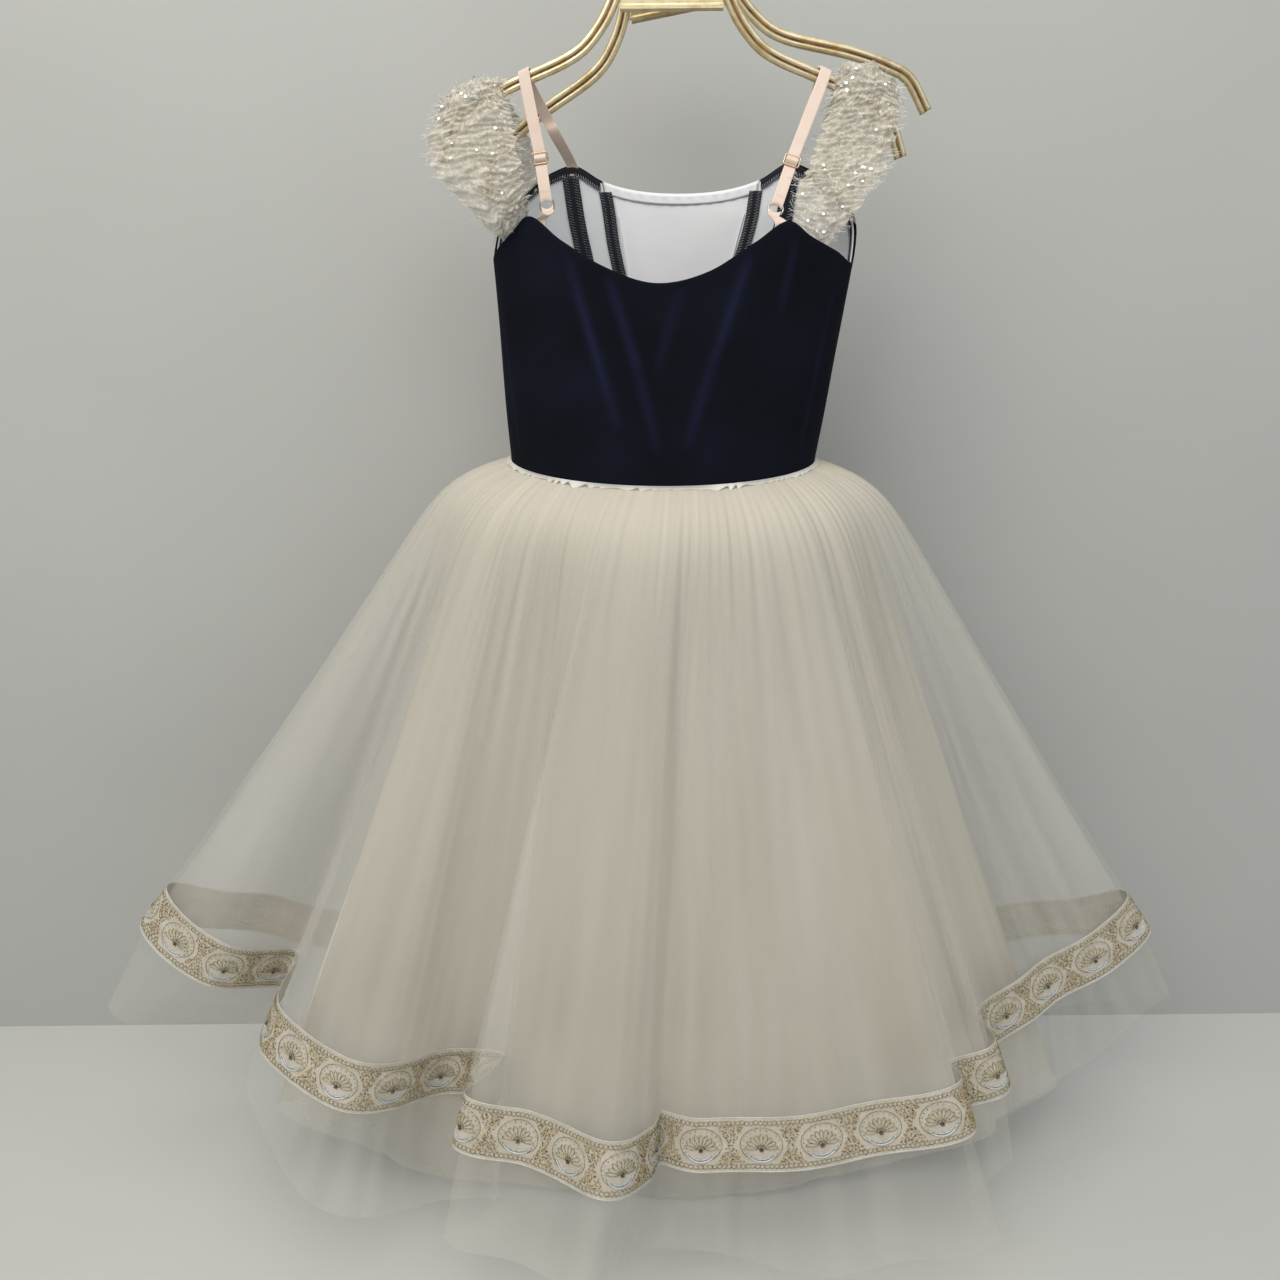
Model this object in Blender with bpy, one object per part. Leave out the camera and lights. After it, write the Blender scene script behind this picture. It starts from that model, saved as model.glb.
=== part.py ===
"""A girl's ballet dress on its hanger, in metres, +Z up.

The origin is the inner crest of the front hanger's hook, where a rail would carry it. The dress shows its back to
-Y: a velvet bodice with a deep scoop, elastic straps and ruched lace bands that loop over the hanger's arms, and a
skirt of gathered tulle layers that spreads to the sides and is folded into deep cones at its hem.
"""

import math

import bmesh
import bpy
import numpy as np

# Clearance between neighbouring pieces.
GAP = 0.0003
# How far out a second point is taken to find the direction out of the bodice.
OUTWARD_STEP = 0.01
# Steps of a fine curve between two given places, before points are spaced along it.
CURVE_STEPS = 24
SHARP_ANGLE = math.radians(40)

# Bodice. Each level is an ellipse that is turned a little about the vertical.
WAIST_Z = -0.444
CHEST_Z = -0.273
WAIST_CENTRE = (-0.009, 0.0)
CHEST_CENTRE = (-0.002, 0.0)
WAIST_HALF = (0.1295, 0.062)
CHEST_HALF = (0.1485, 0.048)
WAIST_TURN = math.radians(-6.0)
CHEST_TURN = math.radians(-12.0)
WAIST_DIP = 0.011
TOP_LEVEL = 1.15
VELVET = 0.0012
LINING = 0.0010
BODICE_ROWS = 5

# Height of the bodice's top edge, by bearing in degrees: 0 is the right side, 90 the front, 270 the back.
TOP_EDGE = [
    ("right side", 0, -0.281),
    ("right armhole", 12, -0.257),
    ("right front armhole", 30, -0.232),
    ("right front strap", 45, -0.214),
    ("right front corner", 54, -0.209),
    ("right neckline", 64, -0.221),
    ("front neckline", 90, -0.2315),
    ("left neckline", 116, -0.221),
    ("left front corner", 126, -0.209),
    ("left front strap", 135, -0.214),
    ("left front armhole", 150, -0.232),
    ("left armhole", 168, -0.257),
    ("left side", 180, -0.278),
    ("left back armhole", 204, -0.2685),
    ("left back shoulder", 215, -0.2575),
    ("left back strap", 223, -0.2470),
    ("left scoop", 238, -0.265),
    ("left low scoop", 252, -0.283),
    ("back", 270, -0.296),
    ("right low scoop", 286, -0.287),
    ("right scoop", 300, -0.266),
    ("right back strap", 311, -0.2510),
    ("right back shoulder", 320, -0.2615),
    ("right back armhole", 334, -0.2725),
    ("right side again", 360, -0.281),
]

# Panels of the bodice: name, the bearings of its two seams at the top edge and at the waist, the columns of its
# mesh, and its cloth.
PANELS = [
    ("bodice_back", 180.5, 359.5, 180.5, 359.5, 22, "velvet"),
    ("bodice_side_right", 0.5, 51.0, 0.5, 69.5, 7, "velvet"),
    ("bodice_side_front_right", 51.5, 64.0, 70.0, 81.5, 2, "velvet"),
    ("bodice_front_center", 64.5, 115.5, 82.0, 98.0, 6, "white_panel"),
    ("bodice_side_front_left", 116.0, 128.5, 98.5, 110.0, 2, "velvet"),
    ("bodice_side_left", 129.0, 179.5, 110.5, 179.5, 7, "velvet"),
]
# A lining backs two panels and shares their columns.
LININGS = [
    ("lining_right", ["bodice_side_right", "bodice_side_front_right"]),
    ("lining_left", ["bodice_side_front_left", "bodice_side_left"]),
]
LINING_GAP = 0.0004
LINING_LOWER = 0.002

# Skirt. Lengths run down the cloth from the waist seam.
OVERLAY_LENGTH = 0.590
LONG_LAYER_SHOWS = 0.110
TULLE = 0.0010
TRIM_WIDTH = 0.052
TRIM_WALL = 0.0010
PUFF = 0.046
PUFF_RISE = 0.03
PUFF_FADE = 1.3
LAYER_GAP_WAIST = 0.0008
LAYER_GAP_HEM = 0.0045
SKIRT_DROP = 0.0004

# The hems seen from above, anticlockwise from the left tip: name, x and y of the overlay's hem, then x and y of the
# long layer's hem below it.
HEM_BACK = [
    ("left tip", -0.514, 0.000, -0.570, 0.008),
    ("left wing", -0.451, -0.036, -0.527, -0.004),
    ("left wing end", -0.388, 0.004, -0.440, 0.050),
    ("second cone edge", -0.381, -0.100, -0.423, -0.060),
    ("second cone", -0.310, -0.147, -0.344, -0.146),
    ("second cone middle", -0.261, -0.130, -0.278, -0.156),
    ("second cone end", -0.213, -0.094, -0.219, -0.118),
    ("tuck behind third cone", -0.160, -0.092, -0.168, -0.104),
    ("third cone edge", -0.196, -0.176, -0.217, -0.168),
    ("third cone", -0.138, -0.191, -0.156, -0.196),
    ("third cone crest", -0.067, -0.237, -0.088, -0.240),
    ("third cone end", -0.033, -0.208, -0.065, -0.206),
    ("tuck behind third cone end", -0.020, -0.176, -0.036, -0.172),
    ("fourth cone", 0.018, -0.193, 0.014, -0.180),
    ("fourth cone middle", 0.075, -0.197, 0.075, -0.200),
    ("fourth cone bulge", 0.155, -0.191, 0.170, -0.212),
    ("fourth cone end", 0.250, -0.186, 0.284, -0.200),
    ("tuck behind fourth cone", 0.257, -0.145, 0.284, -0.142),
    ("fifth cone", 0.297, -0.132, 0.325, -0.105),
    ("tuck behind fifth cone", 0.296, -0.070, 0.318, -0.052),
    ("sixth cone", 0.350, -0.044, 0.375, -0.030),
    ("sixth cone end", 0.381, -0.026, 0.406, -0.010),
    ("right wing", 0.428, -0.018, 0.478, 0.018),
]
HEM_FRONT = [
    ("right tip", 0.466, 0.006, 0.518, 0.032),
    ("right wing behind", 0.415, 0.042, 0.465, 0.066),
    ("front fold", 0.330, 0.080, 0.368, 0.098),
    ("front valley", 0.245, 0.092, 0.272, 0.106),
    ("front fold", 0.150, 0.136, 0.168, 0.146),
    ("front valley", 0.060, 0.118, 0.068, 0.126),
    ("front fold", -0.040, 0.140, -0.045, 0.148),
    ("front valley", -0.130, 0.116, -0.146, 0.126),
    ("front fold", -0.220, 0.130, -0.247, 0.140),
    ("front valley", -0.310, 0.085, -0.350, 0.100),
    ("left wing behind", -0.430, 0.058, -0.490, 0.074),
]
FOLD_STEPS = 2
OVERLAY_ROWS = [0.0, 0.05, 0.15, 0.40, 0.70, 1.0 - TRIM_WIDTH / OVERLAY_LENGTH, 1.0]
CORNER_LIMIT = 0.5

# The dense inner layers hang as one plain cone with shallow folds.
INNER_LENGTH = 0.715
INNER_HALF = (0.405, 0.084)
INNER_CENTRE = (-0.014, 0.012)
INNER_FOLDS = 9
INNER_FOLD_DEPTH = 0.05
INNER_PUFF = 0.034
INNER_INSET = 0.0020
INNER_DROP = 0.0036
INNER_COLUMNS = 36
INNER_ROWS = [0.0, 0.06, 0.20, 0.45, 0.75, 1.0]

# Frill of tulle that stands out of the waist seam.
FRILL_START = 0.0008
FRILL_REACH = 0.009
FRILL_RISE = 0.0022
FRILL_WAVE = 0.0012
FRILL_WAVES = 12
FRILL_COLUMNS = 48
FRILL_WALL = 0.0008

# Hanger: a grooved metal strip bent into an arch, with a plate between its shoulders and a hook on its crown.
STRIP_TALL = 0.010
STRIP_DEEP = 0.007
STRIP_CORNER = 0.0018
STRIP_POINTS = 33
PLATE_BOTTOM = -0.0975
PLATE_WALL = 0.002
PLATE_CLEARANCE = 0.0007
LIP_TALL = 0.006
LIP_DEEP = 0.005
HOOK_RADIUS = 0.020
HOOK_WIRE = 0.005
HOOK_SWEEP = math.radians(240)
HOOK_POINTS = 18
HOOK_SIDES = 8
HOOK_STEM = 0.004
HOOK_START_LIFT = 0.001
# The hanger that the front straps' side leans on stands behind the one that carries the dress.
REAR_Y = 0.030
# Name, x and y of the hook, and the roll about its crest.
HANGERS = [
    ("hanger_front", 0.0, 0.0, 0.0),
    ("hanger_rear", -0.009, REAR_Y, math.radians(10.0)),
]

# Beyond the shoulders the arch's height is a function of x.
SHOULDER_X = 0.05
ARM_FINE_POINTS = 241

# Centre line of the strip on one side: name, distance from the middle, height.
ARM = [
    ("crown", 0.0, -0.0580),
    ("crown side", 0.020, -0.0590),
    ("crown corner", 0.0335, -0.0680),
    ("plate side", 0.0405, -0.0830),
    ("shoulder", 0.0475, -0.0990),
    ("below shoulder", 0.0560, -0.1125),
    ("hollow", 0.0680, -0.1255),
    ("arm start", 0.0840, -0.1350),
    ("arm", 0.1100, -0.1455),
    ("arm end", 0.1300, -0.1540),
    ("bend", 0.1540, -0.1670),
    ("drop", 0.1700, -0.1800),
    ("tip", 0.1805, -0.2060),
]

# Straps: elastic that hangs over the front arch. Each side: name and the places that it passes, x, y and z.
STRAP_WIDE = 0.009
STRAP_WALL = 0.0009
STRAP_COLUMNS = 5
# Where a strap's middle passes the strip: distance out of the strip's face, and height above its top.
STRAP_OVER_ARM = [(0.0027, -0.0040), (-0.0005, 0.0013)]
# A strap's end is sewn in behind the lining: how far it reaches above and below the top edge.
STRAP_END_ABOVE = 0.001
STRAP_END_BELOW = 0.008
STRAP_EASE = 0.0006
# Shares of the way down from the arm at which the left strap leans on the rear hanger.
LEAN_SHARES = (0.45, 0.62)
RING_RADIUS = 0.0057
RING_WIRE = 0.0013
RING_STEPS = 20
RING_SIDES = 6
FOLD_SIDE = 0.0016
FOLD_END = 0.0026
FOLD_ROUND = 0.7
FOLD_TAIL = 0.007
TAB_FOLD_TAIL = 0.002
SLIDER_STEP = 0.004
SLIDER_WIRE = 0.0012
SLIDER_WEAVE = 0.0018
SLIDER_WIDE = 0.0132
TAB_REACH = 0.006
TAB_EASE = 0.0005
STRAPS = {
    "left": {
        "arm x": -0.1133,
        "slider": (-0.1030, -0.0120, -0.2038),
        "ring": (-0.0985, -0.0150, -0.2385),
        "back bearing": 229,
        "front bearing": 127,
        "front corner lean": True,
    },
    "right": {
        "arm x": 0.1170,
        "slider": (0.0915, -0.0300, -0.2078),
        "ring": (0.0785, -0.0430, -0.2425),
        "back bearing": 308,
        "front bearing": 52,
        "front corner lean": False,
    },
}

# Lace bands, from the back armhole over the arm's end to the front armhole. Each row is a place along the loop:
# name, x and z of the inner edge, of the middle and of the outer edge, then y.
BAND_WALL = 0.0015
BAND_STEPS = 2
BAND_COLUMNS = 5
BAND_TUCK = 0.006
BAND_RISE = 0.003
BAND_FRONT_RISE = 0.012
BAND_BACK_INSET = 0.0026
BAND_EASE = 0.0015
BAND_FRONT_INSET = 0.0042
BANDS = {
    "left": {
        "back bearings": (222, 203),
        "front bearings": (140, 166),
        "loop": [
            ("low", -0.1168, -0.2345, -0.1338, -0.2441, -0.1507, -0.2507, -0.012),
            ("middle", -0.1184, -0.2088, -0.1498, -0.2130, -0.1825, -0.2155, -0.017),
            ("high", -0.1223, -0.1848, -0.1565, -0.1850, -0.1902, -0.1935, -0.013),
            ("shoulder", -0.1280, -0.1639, -0.1556, -0.1629, -0.1834, -0.1741, -0.009),
            ("near brow", -0.1310, -0.1525, -0.1558, -0.1550, -0.1790, -0.1670, -0.0058),
            ("ridge", -0.1324, -0.1470, -0.1559, -0.1515, -0.1761, -0.1635, 0.0005),
            ("far brow", -0.1310, -0.1510, -0.1558, -0.1550, -0.1790, -0.1670, 0.0095),
            ("far shoulder", -0.1280, -0.1620, -0.1556, -0.1629, -0.1834, -0.1741, 0.030),
            ("far high", -0.1200, -0.1800, -0.1520, -0.1850, -0.1860, -0.1980, 0.042),
        ],
    },
    "right": {
        "back bearings": (313, 331),
        "front bearings": (40, 14),
        "loop": [
            ("low", 0.0949, -0.2327, 0.1218, -0.2358, 0.1494, -0.2339, -0.040),
            ("middle", 0.1037, -0.2147, 0.1339, -0.2164, 0.1640, -0.2153, -0.026),
            ("high", 0.1122, -0.1929, 0.1424, -0.1917, 0.1719, -0.1920, -0.014),
            ("shoulder", 0.1214, -0.1698, 0.1490, -0.1644, 0.1764, -0.1703, -0.008),
            ("near brow", 0.1280, -0.1520, 0.1495, -0.1490, 0.1740, -0.1610, -0.0058),
            ("ridge", 0.1302, -0.1450, 0.1500, -0.1419, 0.1715, -0.1542, 0.0),
            ("far brow", 0.1280, -0.1520, 0.1495, -0.1490, 0.1740, -0.1610, 0.0060),
            ("far shoulder", 0.1240, -0.1680, 0.1490, -0.1650, 0.1740, -0.1730, 0.0095),
            ("far high", 0.1200, -0.1880, 0.1440, -0.1900, 0.1700, -0.1960, 0.014),
        ],
    },
}


def clear_scene():
    """Remove whatever the scene holds."""
    for obj in list(bpy.data.objects):
        bpy.data.objects.remove(obj, do_unlink=True)


def finish(name, colour, roughness, metallic=0.0):
    """A Principled material of one colour."""
    made = bpy.data.materials.new(name)
    made.use_nodes = True
    shader = made.node_tree.nodes["Principled BSDF"]
    shader.inputs["Base Color"].default_value = (*colour, 1.0)
    shader.inputs["Roughness"].default_value = roughness
    shader.inputs["Metallic"].default_value = metallic
    return made


def place(name, mesh, material):
    """Put a mesh in the scene as a named object."""
    mesh.materials.append(material)
    mesh.shade_smooth()
    mesh.set_sharp_from_angle(angle=SHARP_ANGLE)
    obj = bpy.data.objects.new(name, mesh)
    bpy.context.scene.collection.objects.link(obj)
    return obj


def grid_faces(rows, columns, closed):
    """Quads of a grid whose columns may close into a ring."""
    across = columns if closed else columns - 1
    row, column = np.meshgrid(np.arange(rows - 1), np.arange(across), indexing="ij")
    following = (column + 1) % columns
    quads = [row * columns + column, row * columns + following]
    quads += [(row + 1) * columns + following, (row + 1) * columns + column]
    return np.stack(quads, axis=-1).reshape(-1, 4)


def cloth(name, points, wall, material, closed=False, flip=False):
    """A sheet through a grid of points, given its wall on the side away from its normals."""
    rows, columns = points.shape[:2]
    faces = grid_faces(rows, columns, closed)
    if flip:
        faces = faces[:, ::-1]
    mesh = bpy.data.meshes.new(name)
    mesh.from_pydata(points.reshape(-1, 3).tolist(), [], faces.tolist())
    obj = place(name, mesh, material)
    solid = obj.modifiers.new("wall", "SOLIDIFY")
    solid.thickness = wall
    solid.offset = -1.0
    return obj


def unit(vectors):
    return vectors / np.linalg.norm(vectors, axis=-1, keepdims=True)


def outward_of(points):
    """Directions out of a closed grid, longer at a fold's corner so that a wall keeps its thickness there."""
    ahead = unit(np.roll(points, -1, axis=1) - points)
    along = unit(ahead + np.roll(ahead, 1, axis=1))
    corner = (ahead * along).sum(axis=-1, keepdims=True)
    out = unit(np.cross(np.gradient(points, axis=0), along))
    return out / np.clip(corner, CORNER_LIMIT, 1)


def shell(name, outer, inner, material):
    """A closed ring of cloth between two grids; both are cut into triangles in the same way."""
    rows, columns = outer.shape[:2]
    count = rows * columns
    quads = grid_faces(rows, columns, closed=True)
    sheet = np.vstack([quads[:, [0, 1, 2]], quads[:, [0, 2, 3]]])
    here = np.concatenate([np.arange(columns), np.arange(count - columns, count)])
    there = np.concatenate([np.roll(half, -1) for half in np.split(here, 2)])
    rims = np.stack([here, there, there + count, here + count], axis=1)
    mesh = bpy.data.meshes.new(name)
    points = np.concatenate([outer.reshape(-1, 3), inner.reshape(-1, 3)])
    mesh.from_pydata(points.tolist(), [], sheet.tolist() + (sheet + count).tolist() + rims.tolist())
    return face_out(name, mesh, material)


def spline(points, steps, closed=False):
    """Points of a Catmull-Rom curve, with the same number of steps between each two given points."""
    points = np.asarray(points, float)
    if closed:
        padded = np.vstack([points[-1:], points, points[:2]])
    else:
        padded = np.vstack([2 * points[0] - points[1], points, 2 * points[-1] - points[-2]])
    t = np.arange(steps)[:, None] / steps
    pieces = []
    for before, here, there, after in zip(padded, padded[1:], padded[2:], padded[3:]):
        bend = 2 * before - 5 * here + 4 * there - after
        twist = 3 * here - before - 3 * there + after
        pieces.append(here + 0.5 * ((there - before) * t + bend * t**2 + twist * t**3))
    if not closed:
        pieces.append(points[-1:])
    return np.vstack(pieces)


def run_along(line):
    """How far along a line each of its points lies."""
    return np.concatenate([[0.0], np.cumsum(np.linalg.norm(np.diff(line, axis=0), axis=1))])


def smooth_line(points, count):
    """Points spaced evenly along a Catmull-Rom curve through the given ones."""
    line = spline(points, CURVE_STEPS)
    run = run_along(line)
    wanted = np.linspace(0, run[-1], count)
    return np.stack([np.interp(wanted, run, line[:, axis]) for axis in range(line.shape[1])], axis=1)


def sweep(name, path, across, profile, material):
    """A closed tube: the profile's two coordinates lie along the path's in-plane normal and along across."""
    path = np.asarray(path, float)
    along = unit(np.gradient(path, axis=0))
    side = unit(np.cross(np.broadcast_to(np.asarray(across, float), path.shape), along))
    across = np.cross(along, side)
    profile = np.asarray(profile, float)
    rings = path[:, None] + side[:, None] * profile[:, 0, None] + across[:, None] * profile[:, 1, None]
    count = len(profile)
    faces = grid_faces(len(path), count, closed=True).tolist()
    faces.append(list(range(count)))
    faces.append(list(range(len(path) * count - 1, (len(path) - 1) * count - 1, -1)))
    mesh = bpy.data.meshes.new(name)
    mesh.from_pydata(rings.reshape(-1, 3).tolist(), [], faces)
    return face_out(name, mesh, material)


def face_out(name, mesh, material):
    """Turn a closed mesh's faces outwards and place it."""
    shape = bmesh.new()
    shape.from_mesh(mesh)
    bmesh.ops.recalc_face_normals(shape, faces=shape.faces)
    shape.to_mesh(mesh)
    shape.free()
    return place(name, mesh, material)


def round_profile(radius, sides):
    turn = np.arange(sides) * 2 * math.pi / sides
    return np.stack([radius * np.cos(turn), radius * np.sin(turn)], axis=1)


def strip_profile(tall, deep, corner):
    """A rectangle with cut corners."""
    high = tall / 2
    wide = deep / 2
    quarter = [(high - corner, wide), (high, wide - corner)]
    half = quarter + [(h, -w) for h, w in reversed(quarter)]
    return half + [(-h, -w) for h, w in half]


def turned(x, y, angle):
    return x * np.cos(angle) - y * np.sin(angle), x * np.sin(angle) + y * np.cos(angle)


def bodice_at(bearing, z, inset=0.0):
    """Points of the bodice at bearings in degrees and heights, moved inwards by inset."""
    level = np.clip((z - WAIST_Z) / (CHEST_Z - WAIST_Z), -0.2, TOP_LEVEL)
    angle = np.radians(bearing)
    half_x = WAIST_HALF[0] + (CHEST_HALF[0] - WAIST_HALF[0]) * level
    half_y = WAIST_HALF[1] + (CHEST_HALF[1] - WAIST_HALF[1]) * level
    out_x = np.cos(angle) / half_x
    out_y = np.sin(angle) / half_y
    step = inset / np.hypot(out_x, out_y)
    turn = WAIST_TURN + (CHEST_TURN - WAIST_TURN) * level
    x, y = turned(half_x * np.cos(angle) - out_x * step, half_y * np.sin(angle) - out_y * step, turn)
    x = x + WAIST_CENTRE[0] + (CHEST_CENTRE[0] - WAIST_CENTRE[0]) * level
    y = y + WAIST_CENTRE[1] + (CHEST_CENTRE[1] - WAIST_CENTRE[1]) * level
    return np.stack([x, y, np.broadcast_to(z, x.shape)], axis=-1)


def waist_height(bearing):
    """The waist seam dips at the back."""
    return WAIST_Z - WAIST_DIP * np.clip(-np.sin(np.radians(bearing)), 0, 1)


def top_height(bearing):
    """The top edge, eased between its table's rows."""
    bearings = np.array([row[1] for row in TOP_EDGE], float)
    heights = np.array([row[2] for row in TOP_EDGE], float)
    bearing = np.asarray(bearing, float) % 360
    slopes = np.gradient(heights, bearings)
    slopes[0] = slopes[-1] = (slopes[0] + slopes[-1]) / 2
    at = np.clip(np.searchsorted(bearings, bearing, side="right") - 1, 0, len(bearings) - 2)
    width = bearings[at + 1] - bearings[at]
    t = (bearing - bearings[at]) / width
    start = (1 + 2 * t) * (1 - t) ** 2 * heights[at] + t * (1 - t) ** 2 * width * slopes[at]
    end = t**2 * (3 - 2 * t) * heights[at + 1] + t**2 * (t - 1) * width * slopes[at + 1]
    return start + end


def bodice_panel(name, top_bearing, waist_bearing, wall, inset, lower, material):
    """A panel between two seams, from the waist seam to its top edge."""
    share = np.linspace(0, 1, BODICE_ROWS + 1)[:, None]
    bottom = waist_height(waist_bearing) + GAP
    z = bottom + (top_height(top_bearing) - lower - bottom) * share
    bearing = waist_bearing + (top_bearing - waist_bearing) * share
    return cloth(name, bodice_at(bearing, z, inset), wall, material)


def hem_line():
    """Both hems' plans, and the bearing of the waist that each of their points hangs from."""
    rows = HEM_BACK + HEM_FRONT
    hem = spline([row[1:3] for row in rows], FOLD_STEPS, closed=True)
    long_hem = spline([row[3:5] for row in rows], FOLD_STEPS, closed=True)
    tip = FOLD_STEPS * len(HEM_BACK)
    run = run_along(np.vstack([hem, hem[:1]]))
    bearing = np.interp(run[:-1], [0.0, run[tip], run[-1]], [180, 360, 540])
    return hem, long_hem, bearing


def puff(share):
    """How far the gathers stand out of the straight line from waist to hem, as a share of the puff."""
    inside = np.clip(1 - share, 0, 1)
    return inside**PUFF_FADE * (1 - np.exp(-share / PUFF_RISE))


def skirt_sheet():
    """The overlay's surface from the waist seam to its hem, and one more row for the long layer's hem."""
    hem, long_hem, bearing = hem_line()
    share = np.array(OVERLAY_ROWS)[:, None]
    waist = bodice_at(bearing, waist_height(bearing))
    out = unit(bodice_at(bearing, waist_height(bearing), -OUTWARD_STEP)[:, :2] - waist[:, :2])
    reach = hem - waist[:, :2]
    drop = np.sqrt(OVERLAY_LENGTH**2 - (reach**2).sum(axis=1))
    plan = waist[None, :, :2] + reach[None] * share[..., None] + out[None] * (PUFF * puff(share))[..., None]
    z = waist_height(bearing) - SKIRT_DROP - drop * share
    long_z = z[-1] - np.sqrt(LONG_LAYER_SHOWS**2 - ((long_hem - hem) ** 2).sum(axis=1))
    overlay = np.concatenate([plan, z[..., None]], axis=-1)
    return np.concatenate([overlay, np.column_stack([long_hem, long_z])[None]])


def inner_cone():
    """The plain cone of the dense layers: an ellipse at the hem with shallow folds."""
    bearing = np.arange(INNER_COLUMNS) * 360 / INNER_COLUMNS
    angle = np.radians(bearing)
    fold = 1 + INNER_FOLD_DEPTH * np.cos(INNER_FOLDS * angle)
    hem_x = INNER_CENTRE[0] + INNER_HALF[0] * np.cos(angle) * fold
    hem_y = INNER_CENTRE[1] + INNER_HALF[1] * np.sin(angle) * fold
    hem = np.stack([hem_x, hem_y], axis=1)
    top_z = waist_height(bearing) - INNER_DROP
    waist = bodice_at(bearing, top_z, INNER_INSET)
    out = unit(bodice_at(bearing, top_z, INNER_INSET - OUTWARD_STEP)[:, :2] - waist[:, :2])
    share = np.array(INNER_ROWS)[:, None]
    reach = hem - waist[:, :2]
    drop = np.sqrt(INNER_LENGTH**2 - (reach**2).sum(axis=1))
    plan = waist[None, :, :2] + reach[None] * share[..., None] + out[None] * (INNER_PUFF * puff(share))[..., None]
    z = top_z - drop * share
    return np.concatenate([plan, z[..., None]], axis=-1)


def frill(material):
    """The gathered edge that stands out over the skirt, just below the velvet."""
    bearing = np.arange(FRILL_COLUMNS) * 360 / FRILL_COLUMNS
    wave = FRILL_WAVE * np.sin(np.radians(bearing) * FRILL_WAVES)
    top = waist_height(bearing) + FRILL_RISE
    near = bodice_at(bearing, top, -FRILL_START)
    far = bodice_at(bearing, top - FRILL_RISE + wave, -FRILL_REACH)
    cloth("waist_frill", np.stack([near, far]), FRILL_WALL, material, closed=True, flip=True)


def make_bodice(cloths):
    tops = {}
    waists = {}
    for name, top_first, top_last, waist_first, waist_last, columns, cloth_name in PANELS:
        tops[name] = np.linspace(top_first, top_last, columns + 1)
        waists[name] = np.linspace(waist_first, waist_last, columns + 1)
        bodice_panel(name, tops[name], waists[name], VELVET, 0.0, 0.0, cloths[cloth_name])
    for name, backed in LININGS:
        top = np.concatenate([tops[panel] for panel in backed])
        waist = np.concatenate([waists[panel] for panel in backed])
        bodice_panel(name, top, waist, LINING, VELVET + LINING_GAP, LINING_LOWER, cloths["lining"])


def make_skirt(cloths):
    """The layers and the trim are one surface moved in or out, so that none meets another."""
    sheet = skirt_sheet()
    out = outward_of(sheet)
    overlay = sheet[:-1]
    out_overlay = out[:-1]
    shell("skirt_overlay", overlay, overlay - out_overlay * TULLE, cloths["tulle"])
    trim = overlay[-2:] + out_overlay[-2:] * GAP
    shell("skirt_trim", trim + out_overlay[-2:] * TRIM_WALL, trim, cloths["trim"])
    share = np.array(OVERLAY_ROWS + [1.0])[:, None, None]
    depth = TULLE + LAYER_GAP_WAIST + (LAYER_GAP_HEM - LAYER_GAP_WAIST) * share
    shell("skirt_long", sheet - out * depth, sheet - out * (depth + TULLE), cloths["tulle"])
    cloth("skirt_inner", inner_cone(), TULLE, cloths["tulle"], closed=True, flip=True)
    frill(cloths["tulle"])


def hung(points, stand):
    """Points in a hanger's own plane, rolled about its hook's crest and moved to where it stands."""
    stand_x, stand_y, roll = stand
    points = np.asarray(points, float)
    x, z = turned(points[:, 0], points[:, 1], roll)
    return np.stack([x + stand_x, np.full_like(x, stand_y), z], axis=1)


def arm_line(count):
    """The strip's centre line from the left tip over the crown to the right tip."""
    half = np.array([(x, z) for _, x, z in ARM])
    whole = np.vstack([half[:0:-1] * (-1, 1), half])
    return smooth_line(whole, count)


def plate_outline():
    """The plate's corners: it fills the space between the strip's shoulders down to its lip."""
    line = arm_line(STRIP_POINTS)
    along = unit(np.gradient(line, axis=0))
    inward = np.stack([along[:, 1], -along[:, 0]], axis=1)
    edge = (line + inward * (STRIP_TALL / 2 + PLATE_CLEARANCE))[line[:, 0] > GAP]
    foot = (np.interp(-PLATE_BOTTOM, -edge[:, 1], edge[:, 0]), PLATE_BOTTOM)
    edge = np.vstack([edge[edge[:, 1] > PLATE_BOTTOM + LIP_TALL / 2], foot])
    return np.vstack([edge, edge[::-1] * (-1, 1)])


def plate(name, stand, material):
    """The flat plate, with a lip along its lower edge."""
    outline = plate_outline()
    mesh = bpy.data.meshes.new(name)
    shape = bmesh.new()
    corners = [shape.verts.new(point) for point in hung(outline, stand) + (0, PLATE_WALL / 2, 0)]
    face = shape.faces.new(corners)
    lifted = bmesh.ops.extrude_face_region(shape, geom=[face])
    moved = [item for item in lifted["geom"] if isinstance(item, bmesh.types.BMVert)]
    bmesh.ops.translate(shape, verts=moved, vec=(0, -PLATE_WALL, 0))
    shape.to_mesh(mesh)
    shape.free()
    obj = face_out(name, mesh, material)
    right = outline[outline[:, 0] > 0]
    half = np.interp(-PLATE_BOTTOM - LIP_TALL / 2, -right[:, 1], right[:, 0])
    lip_line = [(-half, PLATE_BOTTOM), (0, PLATE_BOTTOM), (half, PLATE_BOTTOM)]
    profile = strip_profile(LIP_TALL, LIP_DEEP, STRIP_CORNER)
    lip = sweep(name + "_lip", hung(lip_line, stand), (0, 1, 0), profile, material)
    lip.hide_render = True
    lip.display_type = "WIRE"
    joined = obj.modifiers.new("lip", "BOOLEAN")
    joined.operation = "UNION"
    joined.object = lip
    return obj


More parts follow.
